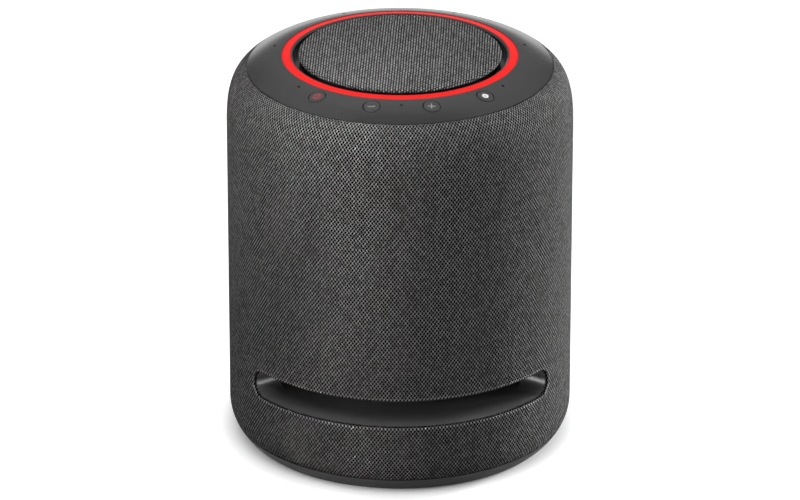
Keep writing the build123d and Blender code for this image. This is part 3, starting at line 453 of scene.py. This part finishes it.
# By material slot: the dark and the light tone, and the roughness from smooth to rough
finishes = {
    "base_plastic": moulded("basePlastic", grey(0.021), grey(0.026), 0.5, 0.62, specular=0.25),
    "ring_plastic": moulded("ringPlastic", grey(0.012), grey(0.016), 0.2, 0.26, relief=0.03),
    "button_plastic": moulded("buttonPlastic", grey(0.022), grey(0.027), 0.36, 0.46, relief=0.05),
    "slot_plastic": moulded(
        "slotPlastic", grey(0.1), grey(0.12), 0.34, 0.4, pebbleScale=4000.0, relief=0.02, specular=0.9
    ),
    "shell_plastic": moulded("shellPlastic", grey(0.012), grey(0.016), 0.5, 0.6),
    "cabinet_plastic": moulded("cabinetPlastic", grey(0.016), grey(0.022), 0.5, 0.6),
    "socket_plastic": moulded("socketPlastic", grey(0.012), grey(0.018), 0.35, 0.45),
    "frame_plastic": moulded("framePlastic", grey(0.014), grey(0.020), 0.45, 0.55),
    "component_plastic": moulded("componentPlastic", grey(0.02), grey(0.03), 0.4, 0.5),
    "board_laminate": moulded("boardLaminate", (0.01, 0.06, 0.03, 1), (0.015, 0.08, 0.04, 1), 0.3, 0.4),
    "foot_rubber": moulded("footRubber", grey(0.014), grey(0.02), 0.7, 0.85),
    "surround_rubber": moulded("surroundRubber", grey(0.012), grey(0.016), 0.6, 0.75),
    "cone_paper": moulded("conePaper", grey(0.025), grey(0.035), 0.7, 0.85, pebbleScale=1200.0, relief=0.3),
    "spider_cloth": moulded(
        "spiderCloth", (0.30, 0.17, 0.05, 1), (0.36, 0.21, 0.07, 1), 0.8, 0.9, pebbleScale=1800.0, relief=0.4
    ),
    "dome_silk": moulded("domeSilk", grey(0.02), grey(0.03), 0.5, 0.7, pebbleScale=3000.0, relief=0.3),
    "magnet_ferrite": moulded(
        "magnetFerrite", grey(0.03), grey(0.045), 0.5, 0.65, pebbleScale=900.0, relief=0.2
    ),
    "socket_metal": metal("socketMetal", grey(0.45), grey(0.55), 0.25, 0.35),
    "basket_metal": metal("basketMetal", grey(0.02), grey(0.03), 0.4, 0.5, metallic=0.0),
    "motor_steel": metal("motorSteel", grey(0.40), grey(0.48), 0.3, 0.4),
    "coil_copper": metal("coilCopper", (0.75, 0.36, 0.2, 1), (0.8, 0.42, 0.25, 1), 0.3, 0.4),
    "screw_steel": metal("screwSteel", grey(0.2), grey(0.28), 0.3, 0.4),
    "microphone_metal": metal("microphoneMetal", grey(0.5), grey(0.6), 0.3, 0.4),
    "sink_aluminium": metal("sinkAluminium", grey(0.6), grey(0.7), 0.3, 0.42),
    "light_diffuser": makeRingLight(ringLight),
    "panel_fabric": makePanelCloth(panelCloth),
}
print("materials:", len(finishes))


# Body sleeve

sleeve = {
    "baseCurve": 0.023, "baseCurveHeight": 0.0185,        # the curve in to the base
    "shoulderCurve": 0.022, "shoulderInset": 0.0105,      # the curve in to the control ring
    "ringGap": 0.0003,                                    # from the cloth to the control ring
    "edgeRoll": 0.00035, "rollTurn": 0.6,                 # the cloth's edges turn in, by so many half turns
    "thickness": 0.0006,
    "slotAngle": 58.0,                                    # half of the bass slot's spread, degrees
    "slotWall": 0.0016,                                   # of the slot's liner
    "windowGap": 0.0003,                                  # from the cloth to the socket panel
    "slotFold": 0.0011, "foldTail": 0.0004,               # the cloth folds into the bass slot
    "foldHighlightReach": 0.0006, "foldShadePlace": 0.0011, "foldShadeReach": 0.0005,   # the fold's painted highlight on its crest, and painted shade on the turned-in cloth inside
    "draw": 0.0007, "drawRise": 0.005, "drawReach": 0.0075,   # the cloth draws in where the shoulder starts
    "hem": 0.00018, "hemPlace": 0.0009, "hemReach": 0.0033,         # the hem's ridge along the fold
    "groove": 0.00014, "groovePlace": 0.0021, "grooveReach": 0.0003,
    "blockAngle": 66.0, "blockLow": 0.028, "blockHigh": 0.064,      # rings take the place of the grid here
    "slotColumns": 120, "cornerColumns": 14, "sideColumns": 90, "windowColumns": 20,
    "rollPoints": 4, "lowPoints": 4, "highPoints": 5, "shoulderPoints": 13, "wallStep": 0.0019,
    "foldSteps": 6, "hemSteps": 9, "blendSteps": 9, "blendPower": 1.3,
}


# Rows of the sleeve, from the bottom edge to the top: (radius, height) points along the body's outline
def sleeveRows(size, window):
    low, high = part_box("fabric_sleeve")
    roll = size["edgeRoll"]
    baseCentre = (bodyRadius - size["baseCurve"], size["baseCurveHeight"])
    inset = size["shoulderCurve"] - size["shoulderInset"]
    topAngle = np.degrees(np.arccos((inset + size["ringGap"] + roll) / size["shoulderCurve"]))
    shoulderStart = high.z - np.sqrt(size["shoulderCurve"] ** 2 - (inset + size["ringGap"]) ** 2)
    shoulderCentre = (bodyRadius - size["shoulderCurve"], shoulderStart)
    baseAngle = np.degrees(np.arcsin((low.z + roll - baseCentre[1]) / size["baseCurve"]))
    windowAngle = np.degrees(np.arcsin((window[0] - baseCentre[1]) / size["baseCurve"]))

    def rolled(centre, radius, angle, side):
        edge = np.array(centre) + (radius - roll) * np.array([np.cos(angle), np.sin(angle)])
        ends = np.degrees([angle + side * np.pi * size["rollTurn"], angle])
        return arcPoints(edge, roll, *ends, size["rollPoints"])

    bottomRoll = rolled(baseCentre, size["baseCurve"], np.radians(baseAngle), -1)[:-1]
    topRoll = rolled(shoulderCentre, size["shoulderCurve"], np.radians(topAngle), 1)[::-1][1:]
    lowArc = arcPoints(baseCentre, size["baseCurve"], baseAngle, windowAngle, size["lowPoints"])
    highArc = arcPoints(baseCentre, size["baseCurve"], windowAngle, 0, size["highPoints"])[1:]
    heights = [baseCentre[1], size["blockLow"], window[1], size["blockHigh"], shoulderStart]
    wall = [
        np.linspace(start, end, max(2, round((end - start) / size["wallStep"])) + 1)[1:]
        for start, end in zip(heights, heights[1:])
    ]
    wall = np.concatenate(wall)
    wall = np.stack([np.full_like(wall, bodyRadius), wall], -1)
    shoulder = arcPoints(shoulderCentre, size["shoulderCurve"], 0, topAngle, size["shoulderPoints"])[1:]
    rows = np.concatenate([bottomRoll, lowArc, highArc, wall, shoulder, topRoll])
    above = rows[:, 1] - shoulderStart - size["drawRise"]
    rows[:, 0] -= size["draw"] * np.exp(-(above / size["drawReach"]) ** 2)
    return rows


# The slot's outline on the unrolled body, grown outwards by an offset: a straight band at the angle of
# each column, with round ends. On an end, tangential reach = (half + offset) cos(t), height = ... sin(t).
def slotOutline(offset, columns, half, middle, roundAngle, endSteps):
    reach = half + offset
    swing = np.linspace(-np.pi / 2, np.pi / 2, endSteps + 1)[:-1]
    side = np.arcsin(reach * np.cos(swing) / bodyRadius)
    rise = reach * np.sin(swing)
    turn = np.concatenate([columns[:-1], roundAngle + side, columns[:0:-1], -roundAngle - side])
    height = np.concatenate([
        np.full(len(columns) - 1, middle - reach), middle + rise,
        np.full(len(columns) - 1, middle + reach), middle - rise,
    ])
    return np.stack([turn, height], -1)


# The outline's rows turned round Z, with rings in place of a block of the grid round the slot. A ring at
# a bend b of the fold lies fold (1 - sin b) out from the slot and fold (1 - cos b) deep. Beyond the fold
# the hem stands proud by exp(-(offset / place)^2).
def makeSleeve(size, look):
    linerLow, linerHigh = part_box("slot_liner")
    panelLow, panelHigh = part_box("port_panel")
    slotLow, slotHigh = linerLow.z + size["slotWall"], linerHigh.z - size["slotWall"]
    half, middle = (slotHigh - slotLow) / 2, (slotHigh + slotLow) / 2
    endAngle = np.radians(size["slotAngle"])
    roundAngle = endAngle - np.arcsin(half / bodyRadius)
    gap = size["windowGap"]
    window = (panelLow.z - gap, panelHigh.z + gap)
    windowTurn = np.pi - np.arcsin((panelHigh.x + gap) / bodyRadius)
    blockTurn = np.radians(size["blockAngle"])

    keys = [-np.pi, -windowTurn, -blockTurn, -roundAngle, roundAngle, blockTurn, windowTurn, np.pi]
    counts = [size["windowColumns"], size["sideColumns"], size["cornerColumns"], size["slotColumns"]]
    counts = counts + counts[-2::-1]
    starts = np.concatenate([[0], np.cumsum(counts)])
    turns = np.concatenate([
        np.linspace(start, end, count, endpoint=False)
        for start, end, count in zip(keys, keys[1:], counts)
    ])
    rows = sleeveRows(size, window)
    points = turnedPoints(rows, turns)
    length = np.concatenate([[0], np.cumsum(np.linalg.norm(np.diff(rows, axis=0), axis=1))])
    flat = np.stack(np.broadcast_arrays(turns / (2 * np.pi) + 0.5, length[:, None] / length[-1]), -1)

    # The front block and the socket window come out of the grid
    def rowAt(height):
        inner = rows[:, 0] < bodyRadius - size["baseCurve"]
        return int(np.argmin(np.abs(rows[:, 1] - height) + inner))

    blockRows = rowAt(size["blockLow"]), rowAt(size["blockHigh"])
    windowRows = rowAt(window[0]), rowAt(window[1])
    faces = gridFaces(len(rows), len(turns), True)
    faceRow, faceColumn = np.divmod(np.arange(len(faces)), len(turns))
    inBlock = (faceRow >= blockRows[0]) & (faceRow < blockRows[1])
    inBlock &= (faceColumn >= starts[2]) & (faceColumn < starts[5])
    inWindow = (faceRow >= windowRows[0]) & (faceRow < windowRows[1])
    inWindow &= (faceColumn < starts[1]) | (faceColumn >= starts[6])
    faces = faces[~inBlock & ~inWindow]

    # Rings round the slot: down into the fold, over the hem, then out to the block's border
    columns = np.append(turns[starts[3]:starts[4]], roundAngle)
    endSteps = 2 * size["cornerColumns"] + blockRows[1] - blockRows[0]
    fold = size["slotFold"]
    bend = np.linspace(np.pi / 2, 0, size["foldSteps"])
    offsets = np.concatenate([[0], fold * (1 - np.sin(bend))])
    depths = np.concatenate([[fold + size["foldTail"]], fold * (1 - np.cos(bend))])
    flatOffsets = np.concatenate([[-fold - size["foldTail"]], fold * (1 - bend)])
    hem = np.linspace(fold, size["hemReach"], size["hemSteps"] + 1)[1:]
    ridge = size["hem"] * np.exp(-((hem - fold) / size["hemPlace"]) ** 2)
    groove = size["groove"] * np.exp(-((hem - size["groovePlace"]) / size["grooveReach"]) ** 2)
    offsets = np.concatenate([offsets, hem])
    depths = np.concatenate([depths, groove - ridge])
    depths[len(bend)] = -size["hem"]
    flatOffsets = np.concatenate([flatOffsets, hem])
    # Painted highlight on the fold's crest, less painted shade on the turned-in cloth behind it
    foldPaintedLight = np.exp(-((flatOffsets - fold) / size["foldHighlightReach"]) ** 2)
    foldPaintedLight -= np.exp(-((flatOffsets - fold + size["foldShadePlace"]) / size["foldShadeReach"]) ** 2)
    args = (columns, half, middle, roundAngle, endSteps)
    rings = np.stack([slotOutline(offset, *args) for offset in offsets])
    flatRings = np.stack([slotOutline(offset, *args) for offset in flatOffsets])

    across = np.arange(starts[2], starts[5] + 1)
    up = np.arange(blockRows[0], blockRows[1] + 1)
    left = starts[3] - starts[2]
    border = [(up[0], column) for column in across[left:]]
    border += [(row, across[-1]) for row in up[1:]]
    border += [(up[-1], column) for column in across[-2::-1]]
    border += [(row, across[0]) for row in up[-2::-1]]
    border += [(up[0], column) for column in across[1:left]]
    border = np.array(border)
    borderPlace = np.stack([turns[border[:, 1]], rows[border[:, 0], 1]], -1)
    share = np.linspace(0, 1, size["blendSteps"] + 2)[1:-1, None, None] ** size["blendPower"]
    blended = rings[-1] + share * (borderPlace - rings[-1])
    rings = np.concatenate([rings, blended])
    flatRings = np.concatenate([flatRings, blended])
    depths = np.concatenate([depths, np.zeros(len(blended))])
    reach = bodyRadius - depths[:, None]
    turn, height = rings[..., 0], rings[..., 1]
    ringPoints = np.stack([reach * np.sin(turn), -reach * np.cos(turn), height], -1)
    wallStart = blockRows[0]
    flatHeight = (length[wallStart] + flatRings[..., 1] - rows[wallStart, 1]) / length[-1]
    ringFlat = np.stack([flatRings[..., 0] / (2 * np.pi) + 0.5, flatHeight], -1)

    count = len(turns) * len(rows)
    loop = len(border)
    ringFaces = gridFaces(len(rings), loop, True) + count
    last = count + (len(rings) - 1) * loop + np.arange(loop)
    outside = border[:, 0] * len(turns) + border[:, 1]
    joinFaces = np.stack([last, np.roll(last, -1), np.roll(outside, -1), outside], -1)
    slotFaces = np.concatenate([ringFaces, joinFaces])[:, ::-1]

    allPoints = np.concatenate([points.reshape(-1, 3), ringPoints.reshape(-1, 3)])
    allFlat = np.concatenate([flat.reshape(-1, 2), ringFlat.reshape(-1, 2)])
    allFaces = np.concatenate([faces, slotFaces])
    used, packed = np.unique(allFaces, return_inverse=True)
    material = makeSleeveCloth(look, length[-1])
    piece = makePiece("bodySleeve", allPoints[used], [packed.reshape(-1, 4)], material, allFlat[used])
    # the fold's painted highlight and shade go only on the rings round the slot
    tone = np.concatenate([np.zeros(count), np.repeat(foldPaintedLight, loop), np.zeros(len(blended) * loop)])
    layer = piece.data.attributes.new("fold", "FLOAT", "POINT")
    layer.data.foreach_set("value", tone[used].astype(np.float32))
    addModifier(piece, "SOLIDIFY", thickness=size["thickness"], offset=-1.0)
    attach(piece, "housing")
    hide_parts("fabric_sleeve")
    return piece


bodySleeve = makeSleeve(sleeve, sleeveCloth)
print("sleeve:", len(bodySleeve.data.polygons), "faces")


# Fabric panel in the top

topPanel = {
    "crown": 0.00035,
    "edge": 0.0013, "tuck": 65.0,         # the edge's radius, and how far it turns under, degrees
    "roll": 0.0006, "rollTurn": 110.0,    # the same for the skirt's foot
    "thickness": 0.0006,
    "turns": 240, "rings": 60, "edgePoints": 14, "skirtPoints": 5, "rollPoints": 5,
}


# A shallow dome: height = top - crown (r/R)^2, then a round edge that tucks under, and a skirt that turns in
# at its foot. The cloth's map is (x, y) drawn out to the length along the profile.
def makeTopPanel(size):
    low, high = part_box("top_fabric")
    radius = high.x
    shoulder = radius - size["edge"]
    out = np.linspace(0, shoulder, size["rings"])[1:]
    dome = np.stack([out, high.z - size["crown"] * (out / shoulder) ** 2], -1)
    edgeCentre = (shoulder, high.z - size["crown"] - size["edge"])
    edge = arcPoints(edgeCentre, size["edge"], 90, -size["tuck"], size["edgePoints"])[1:]
    skirtRadius, skirtTop = edge[-1]
    skirtFoot = low.z + size["roll"]
    skirt = np.linspace(skirtTop, skirtFoot, size["skirtPoints"])[1:]
    skirt = np.stack([np.full_like(skirt, skirtRadius), skirt], -1)
    rollCentre = (skirtRadius - size["roll"], skirtFoot)
    roll = arcPoints(rollCentre, size["roll"], 0, -size["rollTurn"], size["rollPoints"])[1:]
    profile = np.concatenate([dome, edge, skirt, roll])
    length = np.cumsum(np.linalg.norm(np.diff(profile, axis=0, prepend=[[0, high.z]]), axis=1))
    turns = np.linspace(-np.pi, np.pi, size["turns"], endpoint=False)
    points = turnedPoints(profile, turns).reshape(-1, 3)
    flat = turnedPoints(np.stack([length, np.zeros_like(length)], -1), turns)[..., :2].reshape(-1, 2)
    flat = np.append(flat, [[0, 0]], 0)
    middle = len(points)
    points = np.concatenate([points, [[0, 0, high.z]]])
    first = np.arange(size["turns"])
    fan = np.stack([first, np.roll(first, -1), np.full_like(first, middle)], -1)
    sides = gridFaces(len(profile), size["turns"], True)[:, ::-1]
    piece = makePiece("topPanel", points, [sides, fan], finishes["panel_fabric"], flat)
    addModifier(piece, "SOLIDIFY", thickness=size["thickness"], offset=-1.0)
    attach(piece, "housing")
    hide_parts("top_fabric")
    return piece


topPanelPiece = makeTopPanel(topPanel)
print("top panel:", len(topPanelPiece.data.polygons), "faces")


# Marks on the buttons

marks = {
    "arm": 0.0038, "stroke": 0.00056, "lift": 0.00004, "thickness": 0.0001,
    "muteRing": 0.0021, "muteStroke": 0.00065, "muteTurn": 45,
    "actionRing": 0.00165, "actionStroke": 0.00125,
    "probe": 0.0015,        # how far from its middle a button's dish is felt for
    "columns": 48, "ringRows": 4, "barGrid": (3, 9),
}
markGrain = {"smooth": 0.5, "rough": 0.62, "pebbleScale": 3000.0, "relief": 0.1}


# A printed or lit mark: paint with a faint grain, and a glow: light on a lit mark, painted light on a printed
# one
def makeMark(name, dark, light, glow=None):
    material = moulded(name, dark, light, **markGrain)
    if glow:
        shader = material.node_tree.nodes["Principled BSDF"]
        shader.inputs["Emission Color"].default_value = glow
        shader.inputs["Emission Strength"].default_value = 1.0
    return material


markPaint = makeMark("markPaint", grey(0.3), grey(0.36))
# The white action mark is printed, not lit: its glow is painted light
markWhite = makeMark("markWhite", grey(0.6), grey(0.7), grey(0.2))
muteGlow = makeMark("muteGlow", (0.12, 0.02, 0.022, 1), (0.16, 0.026, 0.03, 1), (0.2, 0.012, 0.016, 1))


# A bar about a point, turned by an angle: its points are along (cos, sin) + across (-sin, cos)
def barShape(length, width, middle=(0, 0), turn=0.0):
    rows, columns = marks["barGrid"]
    across = np.linspace(-0.5, 0.5, rows) * width
    along = np.linspace(-0.5, 0.5, columns) * length
    across, along = np.meshgrid(across, along, indexing="ij")
    turn = np.radians(turn)
    x = middle[0] + along * np.cos(turn) - across * np.sin(turn)
    y = middle[1] + along * np.sin(turn) + across * np.cos(turn)
    return np.stack([x, y], -1).reshape(-1, 2), gridFaces(rows, columns)


# A flat ring: points at r (cos t, sin t), with r from the outer to the inner radius
def ringShape(outer, inner, columns):
    turn = np.linspace(0, 2 * np.pi, columns, endpoint=False)
    rows = marks["ringRows"]
    radius = np.linspace(outer, inner, rows)[:, None]
    points = np.stack([radius * np.cos(turn), radius * np.sin(turn)], -1)
    return points.reshape(-1, 2), gridFaces(rows, columns, True)


# The dished top of a button near its middle, from five points on it: height = middle + lean x + tilt y +
# bend (x^2 + y^2)
def dishUnder(button, reach):
    low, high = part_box(button)
    place = np.array([(low.x + high.x) / 2, (low.y + high.y) / 2])
    probes = reach * np.array([(0, 0), (1, 0), (-1, 0), (0, 1), (0, -1)])
    down = Vector((0, 0, -1))
    hits = [nodes[button].ray_cast(Vector((*(place + probe), 1.0)), down)[1].z for probe in probes]
    lean, tilt = (hits[1] - hits[2]) / (2 * reach), (hits[3] - hits[4]) / (2 * reach)
    bend = (sum(hits[1:]) / 4 - hits[0]) / reach ** 2
    return place, hits[0], lean, tilt, bend


# Flat shapes laid on a button's dish: their height is the dish's, and a small lift
def makeButtonMark(name, button, shapes, material, size):
    place, middle, lean, tilt, bend = dishUnder(button, size["probe"])
    starts = np.cumsum([0] + [len(flat) for flat, faces in shapes])
    faces = [faces + start for (flat, faces), start in zip(shapes, starts)]
    x, y = np.concatenate([flat for flat, faces in shapes]).T
    height = middle + lean * x + tilt * y + bend * (x ** 2 + y ** 2) + size["lift"]
    piece = makePiece(name, np.stack([place[0] + x, place[1] + y, height], -1), faces, material)
    addModifier(piece, "SOLIDIFY", thickness=size["thickness"], offset=-1.0)
    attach(piece, button)


def makeMarks(size):
    arm, stroke, columns = size["arm"], size["stroke"], size["columns"]
    minus = barShape(arm, stroke)
    half = (arm - stroke) / 2
    upright = (arm + stroke) / 4
    plus = [minus, barShape(half, stroke, (0, upright), 90), barShape(half, stroke, (0, -upright), 90)]
    muteInner = size["muteRing"] - size["muteStroke"]
    strike = barShape(2 * muteInner, size["muteStroke"], turn=size["muteTurn"])
    mute = [ringShape(size["muteRing"], muteInner, columns), strike]
    ring = ringShape(size["actionRing"], size["actionRing"] - size["actionStroke"], columns)
    makeButtonMark("minusMark", "volume_down_button", [minus], markPaint, size)
    makeButtonMark("plusMark", "volume_up_button", plus, markPaint, size)
    makeButtonMark("muteMark", "mute_button", mute, muteGlow, size)
    makeButtonMark("actionMark", "action_button", [ring], markWhite, size)


makeMarks(marks)
print("button marks made")


# Finishes of the CAD nodes

slotOf = {part["node"]: part["material_slot"] for part in frame["record"]["subparts"]}
for name, node in nodes.items():
    if slotOf[name] in finishes:
        node.data.materials.clear()
        node.data.materials.append(finishes[slotOf[name]])
print("nodes dressed")


# Stage, light and camera

stage = {
    "floorReach": 8.0, "floorGrid": 9, "floorTone": 0.9, "floorRoughness": 0.9,
    "floorBounce": 0.27,     # the floor's tone in the light that it throws back on the object
    # glow that only the camera and reflections see: by distance, fading this near to the object as a painted
    # shadow round its foot, and cut by ambient occlusion as a painted contact shadow
    "floorLift": (0.7, 1.0), "liftReach": (0.09, 0.3),
    "contactReach": 0.012, "contactSamples": 8,
    "worldTone": 0.15,
    # what reflections see of the room, by height, and of a white card behind; the camera sees white
    "skyTones": (
        (0.0, 0.3), (0.12, 0.22), (0.3, 0.25), (0.45, 0.5), (0.62, 0.8), (0.85, 1.1), (0.98, 0.74),
    ),
    "cardTone": 1.8, "cardSpread": (0.93, 0.985), "cardHeight": (0.2, 0.05),
}
# turn from the front and rise, degrees; how far off and how large, metres; which surfaces see it
plainLamp = {"far": 1.2, "spread": 180, "rays": "both"}
lamps = {
    "leftStrip": {
        "turn": -21, "rise": 12, "size": (0.045, 1.0), "spread": 3.5, "power": 0.075, "rays": "matt",
    },
    "leftSpot": {
        "turn": -40, "rise": 50, "far": 1.6, "size": (0.1, 0.1), "spread": 6, "power": 0.03, "rays": "matt",
    },
    "frontBox": {"turn": -10, "rise": 45, "far": 0.6, "size": (0.4, 0.3), "power": 0.92},
    "topBox": {"turn": -20, "rise": 60, "far": 0.5, "size": (0.3, 0.2), "power": 0.49},
    "rightStrip": {"turn": 100, "rise": 12, "size": (0.25, 1.0), "spread": 20, "power": 0.37},
    "rightRim": {
        "turn": 120, "rise": 12, "size": (0.25, 1.0), "spread": 20, "power": 1.45, "rays": "matt",
    },
    "leftRim": {
        "turn": -120, "rise": 12, "size": (0.25, 1.0), "spread": 20, "power": 0.3, "rays": "matt",
    },
    "backBox": {"turn": 180, "rise": 20, "far": 1.4, "size": (1.2, 0.4), "power": 0.12},
    "slotLeft": {"turn": -65.5, "rise": 2.4, "size": (0.16, 0.16), "power": 0.85},
    "slotRight": {"turn": 67.5, "rise": 1.4, "size": (0.16, 0.16), "power": 0.6},
    "glossLeft": {"turn": -65.5, "rise": 2.5, "size": (0.4, 0.25), "power": 8.0, "rays": "gloss"},
    "glossRight": {"turn": 67.5, "rise": 2.5, "size": (0.4, 0.25), "power": 5.0, "rays": "gloss"},
}
shot = {
    "turn": -0.65, "rise": 23.75, "far": 3.0, "aim": 0.0972, "eyeHeight": 0.103,
    "focal": 5888.5, "frameWidth": 800,      # pixels
    "sensor": 36.0, "clipEnd": 100.0,
}


# A place round the object: far (cos rise sin turn, -cos rise cos turn, sin rise), above a height
def aroundPlace(turn, rise, far, height):
    turn, rise = np.radians([turn, rise])
    flat = far * np.cos(rise)
    return Vector((flat * np.sin(turn), -flat * np.cos(turn), height + far * np.sin(rise)))


# A flat square grid at the height of the object's foot
def makeFloor(size):
    count = size["floorGrid"]
    across = np.linspace(-size["floorReach"], size["floorReach"], count)
    x, y = np.meshgrid(across, across)
    material, tree, shader = newMaterial("paleFloor")
    tones = grey(size["floorBounce"]), grey(size["floorTone"])
    feed(tree, shader.inputs["Base Color"], mixColour(tree, seenRays(tree), *tones))
    makeMatt(shader, size["floorRoughness"])
    shader.inputs["Emission Color"].default_value = grey(1.0)
    # Painted shadow round the object's foot: the glow is cut by ambient occlusion and fades towards the
    # object's axis
    contact = {"Distance": size["contactReach"]}
    contactShadow = addNode(tree, "AmbientOcclusion", contact, samples=size["contactSamples"]).outputs["AO"]
    away = fromAxis(tree, splitPlace(tree, "Object"))
    lift = mapRange(tree, away, *size["liftReach"], *size["floorLift"])
    glow = calc(tree, "MULTIPLY", contactShadow, lift)
    feed(tree, shader.inputs["Emission Strength"], calc(tree, "MULTIPLY", seenRays(tree), glow))
    points = np.stack([x, y, np.zeros_like(x)], -1)
    floor = makePiece("floor", points, [gridFaces(count, count)], material)


# 1 for rays from the camera, or by reflection or through glass, and 0 for the light that falls on surfaces
def seenRays(tree):
    rays = addNode(tree, "LightPath").outputs
    seen = calc(tree, "MAXIMUM", rays["Is Camera Ray"], rays["Is Glossy Ray"])
    return calc(tree, "MAXIMUM", seen, rays["Is Transmission Ray"])


def makeWorld(size):
    world = bpy.data.worlds.new("studio")
    world.use_nodes = True
    scene.world = world
    tree = world.node_tree
    background = tree.nodes["Background"]
    background.inputs["Color"].default_value = grey(1.0)
    place = splitPlace(tree, "Generated")
    sky = addNode(tree, "ValToRGB", {"Fac": place["Z"]})
    bands = sky.color_ramp.elements
    bands.remove(bands[1])
    lowest, *others = size["skyTones"]
    bands[0].position, bands[0].color = lowest[0], grey(lowest[1])
    for height, tone in others:
        bands.new(height).color = grey(tone)
    rays = addNode(tree, "LightPath").outputs
    mirrored = calc(tree, "MAXIMUM", rays["Is Glossy Ray"], rays["Is Transmission Ray"])
    behind = mapRange(tree, place["Y"], *size["cardSpread"])
    low = mapRange(tree, place["Z"], *size["cardHeight"], 0.0, size["cardTone"])
    card = calc(tree, "MULTIPLY", behind, low)
    room = calc(tree, "MAXIMUM", sky.outputs["Color"], card)
    strength = mapRange(tree, mirrored, 0.0, 1.0, size["worldTone"], room)
    feed(tree, background.inputs["Strength"], calc(tree, "MAXIMUM", strength, rays["Is Camera Ray"]))


def makeLamps(rig):
    middle = Vector((0, 0, bodyTop / 2))
    for name, own in rig.items():
        look = {**plainLamp, **own}
        light = bpy.data.lights.new(name, "AREA")
        light.shape = "RECTANGLE"
        light.size, light.size_y = look["size"]
        light.energy = look["power"]
        light.spread = np.radians(look["spread"])
        lamp = bpy.data.objects.new(name, light)
        lamp.visible_glossy = look["rays"] != "matt"
        lamp.visible_diffuse = look["rays"] != "gloss"
        scene.collection.objects.link(lamp)
        lamp.location = aroundPlace(look["turn"], look["rise"], look["far"], middle.z)
        lamp.rotation_euler = (middle - lamp.location).to_track_quat("-Z", "Y").to_euler()


def makeCamera(look):
    camera = bpy.data.objects.new("camera", bpy.data.cameras.new("camera"))
    scene.collection.objects.link(camera)
    camera.location = aroundPlace(look["turn"], look["rise"], look["far"], look["eyeHeight"])
    aim = Vector((0, 0, look["aim"]))
    camera.rotation_euler = (aim - camera.location).to_track_quat("-Z", "Y").to_euler()
    camera.data.sensor_width = look["sensor"]
    camera.data.lens = look["focal"] * look["sensor"] / look["frameWidth"]
    camera.data.clip_end = look["clipEnd"]
    scene.camera = camera


makeFloor(stage)
makeWorld(stage)
makeLamps(lamps)
makeCamera(shot)
scene.view_settings.view_transform = "Standard"
print("stage set")
